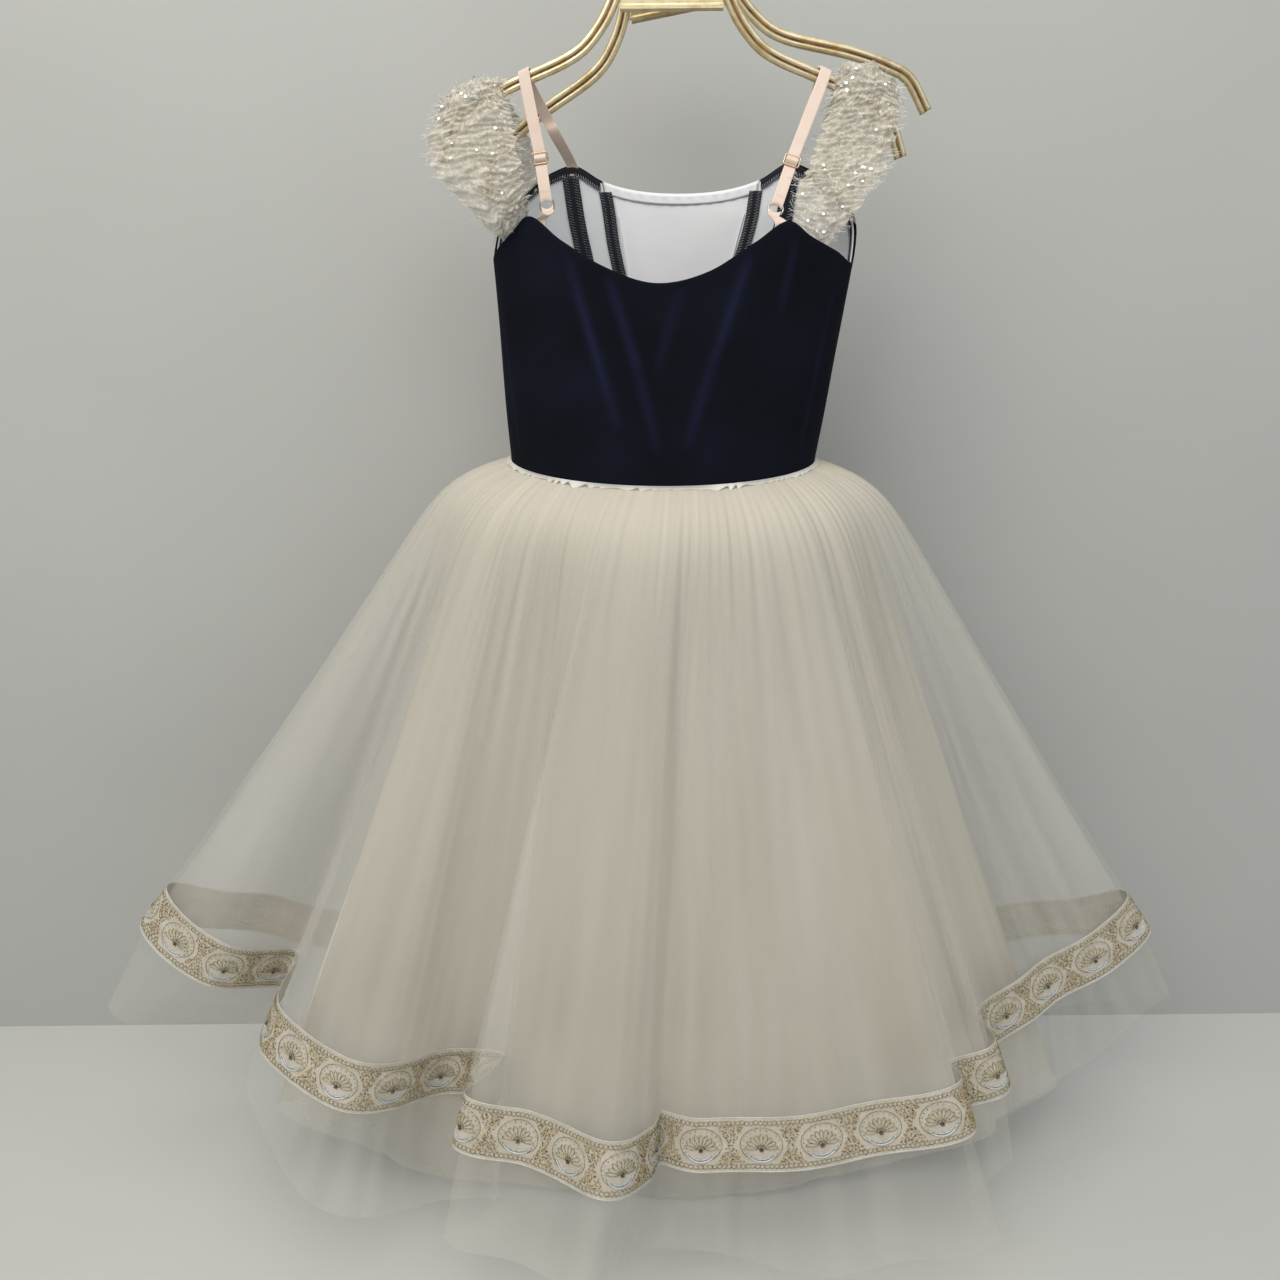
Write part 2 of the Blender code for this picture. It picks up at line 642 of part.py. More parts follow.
def hook(name, stand, material):
    """The wire hook: a stem from the crown, then most of a turn whose inner crest is the hanger's origin."""
    centre = -HOOK_RADIUS
    wire = HOOK_RADIUS + HOOK_WIRE / 2
    turn = np.linspace(-math.pi / 2, HOOK_SWEEP - math.pi / 2, HOOK_POINTS)
    bend = np.stack([wire * np.cos(turn), centre + wire * np.sin(turn)], axis=1)
    stem_foot = ARM[0][2] + STRIP_TALL / 2 + GAP
    rise = np.array([(0.0, stem_foot), (0.0, stem_foot + HOOK_STEM)])
    bend[0] = (HOOK_STEM, bend[0, 1] + HOOK_START_LIFT)
    line = np.vstack([rise, bend])
    sweep(name, hung(line, stand), (0, 1, 0), round_profile(HOOK_WIRE / 2, HOOK_SIDES), material)


def make_hanger(tag, stand, material):
    profile = strip_profile(STRIP_TALL, STRIP_DEEP, STRIP_CORNER)
    sweep(tag + "_arch", hung(arm_line(STRIP_POINTS), stand), (0, 1, 0), profile, material)
    plate(tag + "_plate", stand, material)
    hook(tag + "_hook", stand, material)


def arm_height(x):
    """Height and slope of the front arch's centre line at a distance from its middle."""
    line = arm_line(ARM_FINE_POINTS)
    slope = np.gradient(line[:, 1], line[:, 0])
    side = line[:, 0] * np.sign(x) > SHOULDER_X
    order = np.argsort(line[side, 0])
    places = line[side][order]
    return np.interp(x, places[:, 0], places[:, 1]), np.interp(x, places[:, 0], slope[side][order])


def fold_shift(across):
    """How much lower a fold round the ring's wire lies away from its middle."""
    return RING_RADIUS - np.sqrt(RING_RADIUS**2 - across**2)


def fold_round_ring(ring, along, front, tail):
    """Centre line of a fold that comes down in front of the ring's wire and goes up again behind it."""
    wire = ring - along * RING_RADIUS
    places = [
        (-tail, FOLD_SIDE),
        (-tail / 2, FOLD_SIDE),
        (0.0, FOLD_SIDE),
        (FOLD_END * FOLD_ROUND, FOLD_SIDE * FOLD_ROUND),
        (FOLD_END, 0.0),
        (FOLD_END * FOLD_ROUND, -FOLD_SIDE * FOLD_ROUND),
        (0.0, -FOLD_SIDE),
        (-tail / 2, -FOLD_SIDE),
        (-tail, -FOLD_SIDE),
    ]
    return [wire + along * down + front * out for down, out in places]


def strip_sheet(name, line, across, shares, material):
    """A flat elastic through a centre line. Each row of shares says how much of the ring's round shape a point takes,
    and in which direction."""
    line = np.asarray(line, float)
    across = np.asarray(across, float)
    places = np.linspace(-STRAP_WIDE / 2, STRAP_WIDE / 2, STRAP_COLUMNS)
    along = shares[:, 1:]
    points = line[:, None] + across[:, None] * places[None, :, None]
    points = points + along[:, None] * (fold_shift(places)[None, :] * shares[:, :1])[..., None]
    obj = cloth(name, points, STRAP_WALL, material)
    obj.modifiers["wall"].offset = 0.0
    return obj


def make_strap(side, material, metal):
    """One strap: from the ring through the slider, over the arch, down to the front corner."""
    strap = STRAPS[side]
    ring = np.array(strap["ring"])
    slider = np.array(strap["slider"])
    x = strap["arm x"]
    centre_z, slope = arm_height(x)
    top = centre_z + STRIP_TALL / 2
    arm_across = np.array([1.0, 0.0, slope]) / math.hypot(1.0, slope)
    along = unit(ring - slider)
    level = np.array([1.0, 0.0, 0.0])
    level = unit(level - along * level.dot(along))
    front = np.cross(level, along)
    front *= -np.sign(front[1])

    fold = fold_round_ring(ring, along, front, FOLD_TAIL)
    weave = [-2, -1, 0, 1, 2]
    lifts = [0.0, -SLIDER_WEAVE, SLIDER_WEAVE, -SLIDER_WEAVE, 0.0]
    woven = [slider + along * (SLIDER_STEP * step) + front * lift for step, lift in zip(weave, lifts)]
    near = [np.array([x, -STRIP_DEEP / 2 - out, top + rise]) for out, rise in STRAP_OVER_ARM]
    far = [place * (1, -1, 1) for place in near[::-1]]
    over = near + far
    bearing = strap["front bearing"]
    corner = top_height(bearing)
    inset = VELVET + LINING + 2 * GAP + STRAP_WALL / 2 + STRAP_EASE
    end_high = bodice_at(bearing, corner + STRAP_END_ABOVE, inset)
    end_low = bodice_at(bearing, corner - STRAP_END_BELOW, inset)
    down = []
    if strap["front corner lean"]:
        lean_y = REAR_Y - STRIP_DEEP / 2 - STRAP_WALL / 2 - GAP
        for share in LEAN_SHARES:
            spot = over[-1] + (end_high - over[-1]) * share
            spot[1] = lean_y
            down.append(spot)
    line = fold[::-1] + woven[::-1] + over + down + [end_high, end_low]
    tangent = bodice_at(bearing + 1, corner, inset) - bodice_at(bearing - 1, corner, inset)
    tangent *= np.sign(tangent[0]) / np.linalg.norm(tangent)
    across = [level] * (len(fold) + len(woven)) + [arm_across] * len(over)
    across += [unit(arm_across + tangent)] * len(down) + [tangent] * 2
    shares = np.zeros((len(line), 4))
    shares[:, 1:] = along
    shares[:7, 0] = [0, 0.5, 1, 1, 1, 1, 1]
    strip_sheet("strap_" + side, line, across, shares, material)

    tab_bearing = strap["back bearing"]
    tab_inset = VELVET + GAP + STRAP_WALL / 2 + TAB_EASE
    edge = top_height(tab_bearing)
    low = bodice_at(tab_bearing, edge - TAB_REACH, tab_inset)
    high = bodice_at(tab_bearing, edge + STRAP_END_ABOVE, tab_inset)
    upward = -along
    tab_fold = fold_round_ring(ring, upward, front, TAB_FOLD_TAIL)[:-2]
    tab = [low, high] + tab_fold
    edge_line = bodice_at(tab_bearing + 1, edge, tab_inset) - bodice_at(tab_bearing - 1, edge, tab_inset)
    edge_line *= np.sign(edge_line[0]) / np.linalg.norm(edge_line)
    shares = np.zeros((len(tab), 4))
    shares[:, 1:] = upward
    shares[2:, 0] = 1
    strip_sheet("tab_" + side, tab, [edge_line] * 2 + [level] * len(tab_fold), shares, material)

    make_ring("ring_" + side, ring, level, front, metal)
    make_slider("slider_" + side, slider, level, along, metal)


def make_ring(name, centre, level, front, material):
    """A wire ring that lies in the strap's plane."""
    turn = np.arange(RING_STEPS) * math.tau / RING_STEPS
    up = np.cross(front, level)
    around = np.arange(RING_SIDES) * math.tau / RING_SIDES
    radial = level * np.cos(turn)[:, None] + up * np.sin(turn)[:, None]
    spoke = RING_RADIUS + RING_WIRE / 2 * np.cos(around)
    points = centre + radial[:, None] * spoke[None, :, None]
    points = points + front * (RING_WIRE / 2 * np.sin(around))[None, :, None]
    faces = grid_faces(RING_STEPS + 1, RING_SIDES, closed=True) % (RING_STEPS * RING_SIDES)
    mesh = bpy.data.meshes.new(name)
    mesh.from_pydata(points.reshape(-1, 3).tolist(), [], faces.tolist())
    face_out(name, mesh, material)


def make_slider(name, centre, level, along, material):
    """A flat frame with three bars that the strap is woven through."""
    rail = SLIDER_WIDE / 2
    bar = SLIDER_WIRE / 2
    across = [-rail, -rail + SLIDER_WIRE, rail - SLIDER_WIRE, rail]
    bars = [step * SLIDER_STEP + edge for step in (-1, 0, 1) for edge in (-bar, bar)]
    points = [centre + level * x + along * y for y in bars for x in across]
    quads = grid_faces(len(bars), len(across), closed=False).tolist()
    row = len(across) - 1
    for hole in (3 * row + 1, row + 1):
        del quads[hole]
    mesh = bpy.data.meshes.new(name)
    mesh.from_pydata([point.tolist() for point in points], [], quads)
    obj = place(name, mesh, material)
    solid = obj.modifiers.new("wire", "SOLIDIFY")
    solid.thickness = SLIDER_WIRE
    solid.offset = 0.0


def tucked(bearings, below, inset):
    """Three places just inside the bodice's top edge."""
    bearing = np.linspace(*bearings, 3)
    return bodice_at(bearing, top_height(bearing) - below, inset)


def make_band(side, material):
    """A ruched lace band: a loop whose two ends are tucked inside the armhole's edge."""
    band = BANDS[side]
    back = band["back bearings"]
    front = band["front bearings"]
    rows = [tucked(back, BAND_TUCK, BAND_BACK_INSET), tucked(back, -BAND_RISE, BAND_BACK_INSET + BAND_EASE)]
    for _, inner_x, inner_z, x, z, outer_x, outer_z, y in band["loop"]:
        rows.append(np.array([(inner_x, y, inner_z), (x, y, z), (outer_x, y, outer_z)]))
    rows += [tucked(front, below, BAND_FRONT_INSET) for below in (-BAND_FRONT_RISE, -BAND_RISE, BAND_TUCK)]
    edges = np.stack([spline(column, BAND_STEPS) for column in np.swapaxes(rows, 0, 1)], axis=1)
    spread = np.stack([smooth_line(row, BAND_COLUMNS) for row in edges])
    obj = cloth("band_" + side, spread, BAND_WALL, material)
    obj.modifiers["wall"].offset = 0.0


def main():
    clear_scene()
    cloths = {
        "velvet": finish("navy_velvet", (0.004, 0.005, 0.012), 0.9),
        "white_panel": finish("white_panel", (0.72, 0.74, 0.78), 0.7),
        "lining": finish("white_lining", (0.66, 0.69, 0.75), 0.7),
        "tulle": finish("cream_tulle", (0.72, 0.68, 0.58), 0.8),
        "trim": finish("gold_trim", (0.52, 0.42, 0.26), 0.5),
    }
    elastic = finish("pink_elastic", (0.80, 0.62, 0.52), 0.6)
    lace = finish("cream_lace", (0.66, 0.62, 0.52), 0.7)
    gold = finish("brushed_gold", (0.72, 0.56, 0.30), 0.35, 1.0)
    make_bodice(cloths)
    make_skirt(cloths)
    for tag, *stand in HANGERS:
        make_hanger(tag, stand, gold)
    for side in ("left", "right"):
        make_strap(side, elastic, gold)
        make_band(side, lace)


main()
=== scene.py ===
# %% [markdown]
# # A ballet dress on its hanger
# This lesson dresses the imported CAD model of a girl's ballet dress in real cloth. The CAD model is the
# fixed frame: it says where each panel, layer, band and strap is. Every soft piece is worked out again here
# as a fine surface in the same place, and the metal parts keep their CAD shape or get a finer one. All
# lengths are in metres.

import math

import bpy
import numpy as np
from mathutils import Matrix, Vector


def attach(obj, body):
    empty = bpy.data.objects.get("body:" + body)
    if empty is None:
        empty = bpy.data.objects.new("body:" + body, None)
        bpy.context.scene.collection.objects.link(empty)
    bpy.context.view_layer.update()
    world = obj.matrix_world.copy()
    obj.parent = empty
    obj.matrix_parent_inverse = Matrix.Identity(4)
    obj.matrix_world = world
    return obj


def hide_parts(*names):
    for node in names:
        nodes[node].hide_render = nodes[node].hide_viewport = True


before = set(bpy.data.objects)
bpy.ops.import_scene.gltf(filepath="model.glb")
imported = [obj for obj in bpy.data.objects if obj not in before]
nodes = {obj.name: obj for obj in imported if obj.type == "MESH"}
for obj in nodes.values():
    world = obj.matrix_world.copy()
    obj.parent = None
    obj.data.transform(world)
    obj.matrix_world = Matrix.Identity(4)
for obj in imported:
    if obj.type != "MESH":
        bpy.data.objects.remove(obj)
scene = bpy.context.scene
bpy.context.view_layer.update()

# %% [markdown]
# ## Camera
# The photograph looks a little down on the dress from about a metre away, with the hook and the lowest
# folds just outside the picture. The lens, the place and the tilt below were found from lengths that are
# known on the dress. The picture is turned by half a degree, so the camera is rolled by the same angle.

# %% Camera
FOCAL_PX = 1255.0
IMAGE_PX = 1280.0
SENSOR_MM = 36.0
EYE = (-0.029, -1.06, -0.223)
PITCH = math.radians(20.0)
ROLL = math.radians(0.6)


def camera_axes(pitch, roll):
    """The camera's right, up and backward directions: level right and tilted up, both turned by the
    roll."""
    right = np.array([1.0, 0.0, 0.0])
    up = np.array([0.0, math.sin(pitch), math.cos(pitch)])
    back = np.array([0.0, -math.cos(pitch), math.sin(pitch)])
    return math.cos(roll) * right - math.sin(roll) * up, math.sin(roll) * right + math.cos(roll) * up, back


camera_data = bpy.data.cameras.new("camera")
camera_data.sensor_width = SENSOR_MM
camera_data.lens = FOCAL_PX / IMAGE_PX * SENSOR_MM
camera_data.clip_start = 0.01
camera = bpy.data.objects.new("camera", camera_data)
scene.collection.objects.link(camera)
pose = Matrix.Identity(4)
for column, axis in enumerate(camera_axes(PITCH, ROLL)):
    for row in range(3):
        pose[row][column] = axis[row]
for row in range(3):
    pose[row][3] = EYE[row]
camera.matrix_world = pose
scene.camera = camera
print("lens", round(camera_data.lens, 1), "mm")

# %% [markdown]
# ## Colours and nodes
# Colours are written as sRGB hex values, the way a colour picker shows them, and turned to linear light by
# one function. One small function adds a shader node, sets its inputs and links whatever is given as
# another node.


# %% Colour and node helpers
def linear(code, alpha=1.0):
    """Linear RGBA of an sRGB hex colour: each channel is ((c + 0.055) / 1.055) to the power 2.4, or c /
    12.92."""
    srgb = np.array([int(code[index : index + 2], 16) for index in (1, 3, 5)]) / 255
    light = np.where(srgb <= 0.04045, srgb / 12.92, ((srgb + 0.055) / 1.055) ** 2.4)
    return (*light.tolist(), alpha)


def add(tree, kind, inputs=None, stops=(), **settings):
    """A node with its settings. An input is a value, or a (node, output name) pair to link. A colour ramp
    also takes its stops, as (place, hex colour)."""
    made = tree.nodes.new("ShaderNode" + kind)
    for key, value in settings.items():
        setattr(made, key, value)
    for key, value in (inputs or {}).items():
        socket = made.inputs[key]
        if isinstance(value, tuple) and isinstance(value[0], bpy.types.Node):
            tree.links.new(value[0].outputs[value[1]], socket)
        else:
            socket.default_value = value
    while stops and len(made.color_ramp.elements) < len(stops):
        made.color_ramp.elements.new(0.5)
    for index, (place, code) in enumerate(stops):
        made.color_ramp.elements[index].position = place
        made.color_ramp.elements[index].color = linear(code)
    return made


def material(name):
    """A material with a bare Principled shader: the material, its tree and the shader."""
    made = bpy.data.materials.new(name)
    made.use_nodes = True
    return made, made.node_tree, made.node_tree.nodes["Principled BSDF"]


def plug(tree, source, output, shader, socket):
    """One link into the shader."""
    tree.links.new(source.outputs[output], shader.inputs[socket])


# %% [markdown]
# ## Room and light
# A pale floor, a pale wall close behind the dress and large soft lights. The lamp above and in front gives
# the top of the skirt its brightness, and the wall gets darker towards the floor, as in a small studio.

# %% Stage
FLOOR_Z = -1.178
WALL_Y = 0.215
STAGE_HALF = 6.0


def stage_plane(name, corners, finish):
    """One flat face of the room, which isn't part of the object."""
    mesh = bpy.data.meshes.new(name)
    mesh.from_pydata(corners, [], [(0, 1, 2, 3)])
    mesh.materials.append(finish)
    plane = bpy.data.objects.new(name, mesh)
    scene.collection.objects.link(plane)
    return plane


def painted(name, code, roughness):
    """Matt emulsion paint: one pale grey with a faint unevenness."""
    made, tree, shader = material(name)
    place = add(tree, "TexCoord")
    cloud = add(tree, "TexNoise", {"Vector": (place, "Object"), "Scale": 3.0, "Detail": 2.0})
    tint = add(tree, "ValToRGB", {"Fac": (cloud, "Fac")}, [(0.3, code[0]), (0.7, code[1])])
    plug(tree, tint, "Color", shader, "Base Color")
    shader.inputs["Roughness"].default_value = roughness
    return made


wide = STAGE_HALF
stage_plane(
    "studio_floor",
    [(-wide, -wide, FLOOR_Z), (wide, -wide, FLOOR_Z), (wide, WALL_Y, FLOOR_Z), (-wide, WALL_Y, FLOOR_Z)],
    painted("floor_paint", ("#d2d3cf", "#d6d7d3"), 0.55),
)
stage_plane(
    "studio_wall",
    [(-wide, WALL_Y, FLOOR_Z), (wide, WALL_Y, FLOOR_Z), (wide, WALL_Y, wide), (-wide, WALL_Y, wide)],
    painted("wall_paint", ("#c1c2bf", "#c5c6c3"), 0.8),
)

# %% Lights
LIGHTS = [
    # name, place, aim, width, watts, colour
    ("key_softbox", (-0.9, -1.6, 1.2), (-0.1, 0.0, -0.5), 1.5, 30.0, "#fffaf2"),
    ("fill_softbox", (1.5, -1.6, 0.3), (0.0, 0.0, -0.6), 1.6, 5.0, "#f2f6ff"),
    ("neck_lamp", (0.1, -1.0, 0.5), (0.0, 0.04, -0.24), 0.4, 2.2, "#ffffff"),
    ("top_softbox", (0.0, -0.4, 1.8), (0.0, 0.1, -0.5), 1.4, 14.0, "#ffffff"),
]
AIR_COLOUR = "#e9ebea"
AIR_STRENGTH = 0.40

for name, place, aim, width, watts, code in LIGHTS:
    lamp = bpy.data.lights.new(name, "AREA")
    lamp.size = width
    lamp.energy = watts
    lamp.color = linear(code)[:3]
    lit = bpy.data.objects.new(name, lamp)
    lit.location = place
    toward = Vector(aim) - lit.location
    lit.rotation_euler = toward.to_track_quat("-Z", "Y").to_euler()
    scene.collection.objects.link(lit)

world = bpy.data.worlds.new("studio_air")
world.use_nodes = True
world.node_tree.nodes["Background"].inputs["Color"].default_value = linear(AIR_COLOUR)
world.node_tree.nodes["Background"].inputs["Strength"].default_value = AIR_STRENGTH
scene.world = world
scene.view_settings.view_transform = "Standard"
scene.cycles.transparent_max_bounces = 24
scene.cycles.diffuse_bounces = 2
scene.cycles.max_bounces = 6
print(len(LIGHTS), "soft lights")

# %% [markdown]
# ## Cloth finishes
# Stretch velvet is a knit with a short cut pile. The pile drinks the light that falls straight on it and
# gives a little back at a slant, so the cloth is nearly black with a blue bloom along its creases. Here that
# bloom is a painted sheen: the colour is mixed towards a pale navy where a panel is marked as near a crease.

# %% Velvet


def stretch_velvet():
    """Navy stretch velvet: rough, with a blue sheen, and a painted blue sheen mixed into the colour along the
    creases; the pile's nap is drawn as 1.4 mm flecks, coarser than real."""
    made, tree, shader = material("navy_stretch_velvet")
    place = add(tree, "TexCoord")
    nap = add(tree, "TexNoise", {"Vector": (place, "Object"), "Scale": 700.0, "Detail": 3.0})
    brushed = add(tree, "TexNoise", {"Vector": (place, "Object"), "Scale": 14.0, "Detail": 2.0})
    crease = add(tree, "Attribute", attribute_name="crease")
    base = add(tree, "ValToRGB", {"Fac": (brushed, "Fac")}, [(0.35, "#0a0c14"), (0.7, "#0f1320")])
    # Painted sheen: along the creases the colour is mixed towards a pale navy that stands for the pile's blue
    # bloom.
    painted_crease_sheen = linear("#191c36")
    lit = add(tree, "MixRGB", {"Fac": (crease, "Fac"), "Color1": (base, "Color"), "Color2": painted_crease_sheen})
    plug(tree, lit, "Color", shader, "Base Color")
    shader.inputs["Roughness"].default_value = 0.95
    shader.inputs["Specular IOR Level"].default_value = 0.15
    shader.inputs["Sheen Weight"].default_value = 0.08
    shader.inputs["Sheen Roughness"].default_value = 0.35
    shader.inputs["Sheen Tint"].default_value = linear("#3a4468")
    bump = add(tree, "Bump", {"Height": (nap, "Fac"), "Strength": 0.35, "Distance": 0.0006})
    plug(tree, bump, "Normal", shader, "Normal")
    return made


VELVET_CLOTH = stretch_velvet()

# %% [markdown]
# The lining and the centre front panel are smooth white knits. Their ribs are 0.9 mm apart, drawn a little
# wider than on the real cloth so that they show, and run up and down the panel by its own UV map.

# %% Knits and elastic


def knit(name, low, high, rib_mm, roughness, depth, sheen=0.1):
    """A plain knit or woven elastic: ribs along the cloth's length and a soft cloud of colour."""
    made, tree, shader = material(name)
    uv = add(tree, "UVMap", uv_map="cloth")
    ribs = add(
        tree,
        "TexWave",
        {"Vector": (uv, "UV"), "Scale": 1000.0 / rib_mm / 20.0 * math.tau, "Distortion": 0.4, "Detail": 1.0},
        bands_direction="X",
    )
    cloud = add(tree, "TexNoise", {"Vector": (uv, "UV"), "Scale": 30.0, "Detail": 3.0})
    tint = add(tree, "ValToRGB", {"Fac": (cloud, "Fac")}, [(0.3, low), (0.7, high)])
    plug(tree, tint, "Color", shader, "Base Color")
    shader.inputs["Roughness"].default_value = roughness
    shader.inputs["Sheen Weight"].default_value = sheen
    bump = add(tree, "Bump", {"Height": (ribs, "Fac"), "Strength": 0.5, "Distance": depth})
    plug(tree, bump, "Normal", shader, "Normal")
    return made


LINING_CLOTH = knit("white_knit_lining", "#eaeef3", "#f2f5f8", 0.9, 0.75, 0.0002)
CENTRE_CLOTH = knit("white_woven_panel", "#f3f5fa", "#fafbfe", 0.7, 0.7, 0.0001)
ELASTIC_CLOTH = knit("pink_satin_elastic", "#e6cdbd", "#efdccd", 1.0, 0.45, 0.0003, 0.3)

# %% [markdown]
# Tulle is a net, and its holes are about a millimetre, which is finer than a pixel here. What the eye sees
# is a veil: denser where gathers crowd together, clearer between them. So each point of a layer carries a
# value, "cover", for how much of the view the net hides there, and the finish reads it. Folds that the eye
# looks along get denser by themselves, because the rippled surface is crossed several times there.

# %% Tulle


def tulle(name, thin, dense):
    """Soft nylon net: its cover is its opacity, and its colour goes from thin to dense cloth with the
    cover."""
    made, tree, shader = material(name)
    cover = add(tree, "Attribute", attribute_name="cover")
    plug(tree, cover, "Fac", shader, "Alpha")
    tint = add(tree, "ValToRGB", {"Fac": (cover, "Fac")}, [(0.1, thin), (0.9, dense)])
    plug(tree, tint, "Color", shader, "Base Color")
    shader.inputs["Roughness"].default_value = 0.9
    shader.inputs["Specular IOR Level"].default_value = 0.15
    return made


OUTER_NET = tulle("cream_outer_tulle", "#f0ede4", "#dcd4c3")
GATHERED_NET = tulle("cream_gathered_tulle", "#f0e9dc", "#ddd3c0")
FRILL_NET = tulle("white_frill_tulle", "#eeece6", "#f6f4ee")


def inner_net():
    """The innermost gathered layers, many deep: soft streaks of two creams, and clear only near their
    hem."""
    made, tree, shader = material("cream_inner_tulle")
    uv = add(tree, "UVMap", uv_map="gathers")
    stretch = add(tree, "Mapping", {"Vector": (uv, "UV"), "Scale": (45.0, 1.2, 1.0)})
    streak = add(tree, "TexNoise", {"Vector": (stretch, "Vector"), "Scale": 1.0, "Detail": 1.0})
    tint = add(tree, "ValToRGB", {"Fac": (streak, "Fac")}, [(0.3, "#ebe4d6"), (0.7, "#f5f0e5")])
    plug(tree, tint, "Color", shader, "Base Color")
    cover = add(tree, "Attribute", attribute_name="cover")
    plug(tree, cover, "Fac", shader, "Alpha")
    shader.inputs["Roughness"].default_value = 0.9
    return made


INNER_NET = inner_net()
print("cloth finishes made")

# %% [markdown]
# ## Surfaces
# A surface here is a grid of points worked out with numpy: rows run down the cloth and columns run across
# it. One function turns such a grid into a mesh with a UV map, and can close the columns into a tube. The
# second coordinate of each UV map runs along the cloth's length, so ribs and streaks follow the cloth
# wherever it turns.


# %% Grid helpers
def grid_quads(rows, columns, closed):
    """Corner numbers of each quad of a grid whose columns may close into a ring."""
    across = columns if closed else columns - 1
    row, column = np.meshgrid(np.arange(rows - 1), np.arange(across), indexing="ij")
    following = (column + 1) % columns
    quads = [row * columns + column, row * columns + following]
    quads += [(row + 1) * columns + following, (row + 1) * columns + column]
    return np.stack(quads, axis=-1).reshape(-1, 4)


def unit(vectors):
    """Directions: each vector over its own length."""
    return vectors / np.maximum(np.linalg.norm(vectors, axis=-1, keepdims=True), 1e-12)


def new_mesh(name, points, faces, finishes):
    """An object from whole arrays of points and faces, all faces with the same number of corners."""
    mesh = bpy.data.meshes.new(name)
    sides = faces.shape[1]
    mesh.vertices.add(len(points))
    mesh.vertices.foreach_set("co", np.ascontiguousarray(points, np.float32).ravel())
    mesh.loops.add(faces.size)
    mesh.loops.foreach_set("vertex_index", np.ascontiguousarray(faces, np.int32).ravel())
    mesh.polygons.add(len(faces))
    mesh.polygons.foreach_set("loop_start", np.arange(0, faces.size, sides, dtype=np.int32))
    mesh.update(calc_edges=True)
    mesh.polygons.foreach_set("use_smooth", np.ones(len(faces), bool))
    for finish in finishes:
        mesh.materials.append(finish)
    obj = bpy.data.objects.new(name, mesh)
    scene.collection.objects.link(obj)
    return obj


def add_uv(obj, name, uv):
    """A UV map from one (u, v) for each corner of each face."""
    layer = obj.data.uv_layers.new(name=name)
    layer.data.foreach_set("uv", np.ascontiguousarray(uv, np.float32).ravel())


def add_value(obj, name, values):
    """A named value for each point, which a material can read."""
    attribute = obj.data.attributes.new(name, "FLOAT", "POINT")
    attribute.data.foreach_set("value", np.ascontiguousarray(values, np.float32).ravel())


def sheet_object(name, points, finish, uv_name, u, v, closed=False, wall=0.0, flip=False):
    """A sheet of cloth through a grid. u is one value for each column edge, v one for each row; a wall is
    optional."""
    rows, columns = points.shape[:2]
    quads = grid_quads(rows, columns, closed)
    u = np.append(u, u[-1] + (u[-1] - u[-2])) if closed else np.asarray(u)
    across = columns if closed else columns - 1
    row, column = np.meshgrid(np.arange(rows - 1), np.arange(across), indexing="ij")
    after, below = column + 1, row + 1
    corners = [(u[column], v[row]), (u[after], v[row]), (u[after], v[below]), (u[column], v[below])]
    uv = np.stack([np.stack(corner, axis=-1) for corner in corners], axis=2).reshape(-1, 4, 2)
    if flip:
        quads = quads[:, ::-1]
        uv = uv[:, ::-1]
    obj = new_mesh(name, points.reshape(-1, 3), quads, [finish])
    add_uv(obj, uv_name, uv)
    if wall:
        solid = obj.modifiers.new("wall", "SOLIDIFY")
        solid.thickness = wall
        solid.offset = -1.0
    return obj


def grid_area(points):
    """Area of a grid: half the cross product of each cell's diagonals."""
    first = points[1:, 1:] - points[:-1, :-1]
    second = points[1:, :-1] - points[:-1, 1:]
    return float(np.linalg.norm(np.cross(first, second), axis=-1).sum() / 2)


def settle(obj, slot, *replaced):
    """Every piece rides on the one body and may stand for CAD nodes, which are then hidden. The slot is not
    used."""
    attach(obj, "root")
    if replaced:
        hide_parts(*replaced)


def spline(points, steps, closed=False):
    """Points of a Catmull-Rom curve, with the same number of steps between each two given points."""
    points = np.asarray(points, float)
    if closed:
        padded = np.vstack([points[-1:], points, points[:2]])
    else:
        padded = np.vstack([2 * points[0] - points[1], points, 2 * points[-1] - points[-2]])
    t = np.arange(steps)[:, None] / steps
    pieces = []
    for before, here, there, after in zip(padded, padded[1:], padded[2:], padded[3:]):
        bend = 2 * before - 5 * here + 4 * there - after
        twist = 3 * here - before - 3 * there + after
        pieces.append(here + 0.5 * ((there - before) * t + bend * t**2 + twist * t**3))
    if not closed:
        pieces.append(points[-1:])
    return np.vstack(pieces)


def run_along(line):
    """How far along a line each of its points lies."""
    return np.concatenate([[0.0], np.cumsum(np.linalg.norm(np.diff(line, axis=0), axis=1))])


def evenly(points, count, fine=24):
    """Points spaced evenly along a Catmull-Rom curve through the given ones."""
    line = spline(points, fine)
    run = run_along(line)
    wanted = np.linspace(0, run[-1], count)
    return np.stack([np.interp(wanted, run, line[:, axis]) for axis in range(line.shape[1])], axis=1)


def wander(seed, count, waves, periodic=True):
    """A smooth random line between -1 and 1: a sum of sines with seeded heights and starts, over one whole
    turn."""
    rng = np.random.default_rng(seed)
    turn = np.arange(count) / count if periodic else np.linspace(0, 1, count)
    order = np.arange(1, waves + 1)
    height = rng.normal(size=waves) / np.sqrt(order)
    line = (height * np.sin(math.tau * (order * turn[:, None] + rng.random(waves)))).sum(axis=1)
    return line / np.abs(line).max()


# %% [markdown]
# ## Bodice
# The bodice is a tube whose every level is an ellipse, turned a little, between the waist seam and a curved
# top edge. The formula below is the CAD model's own, so the fine panels lie exactly in the CAD panels'
# place.

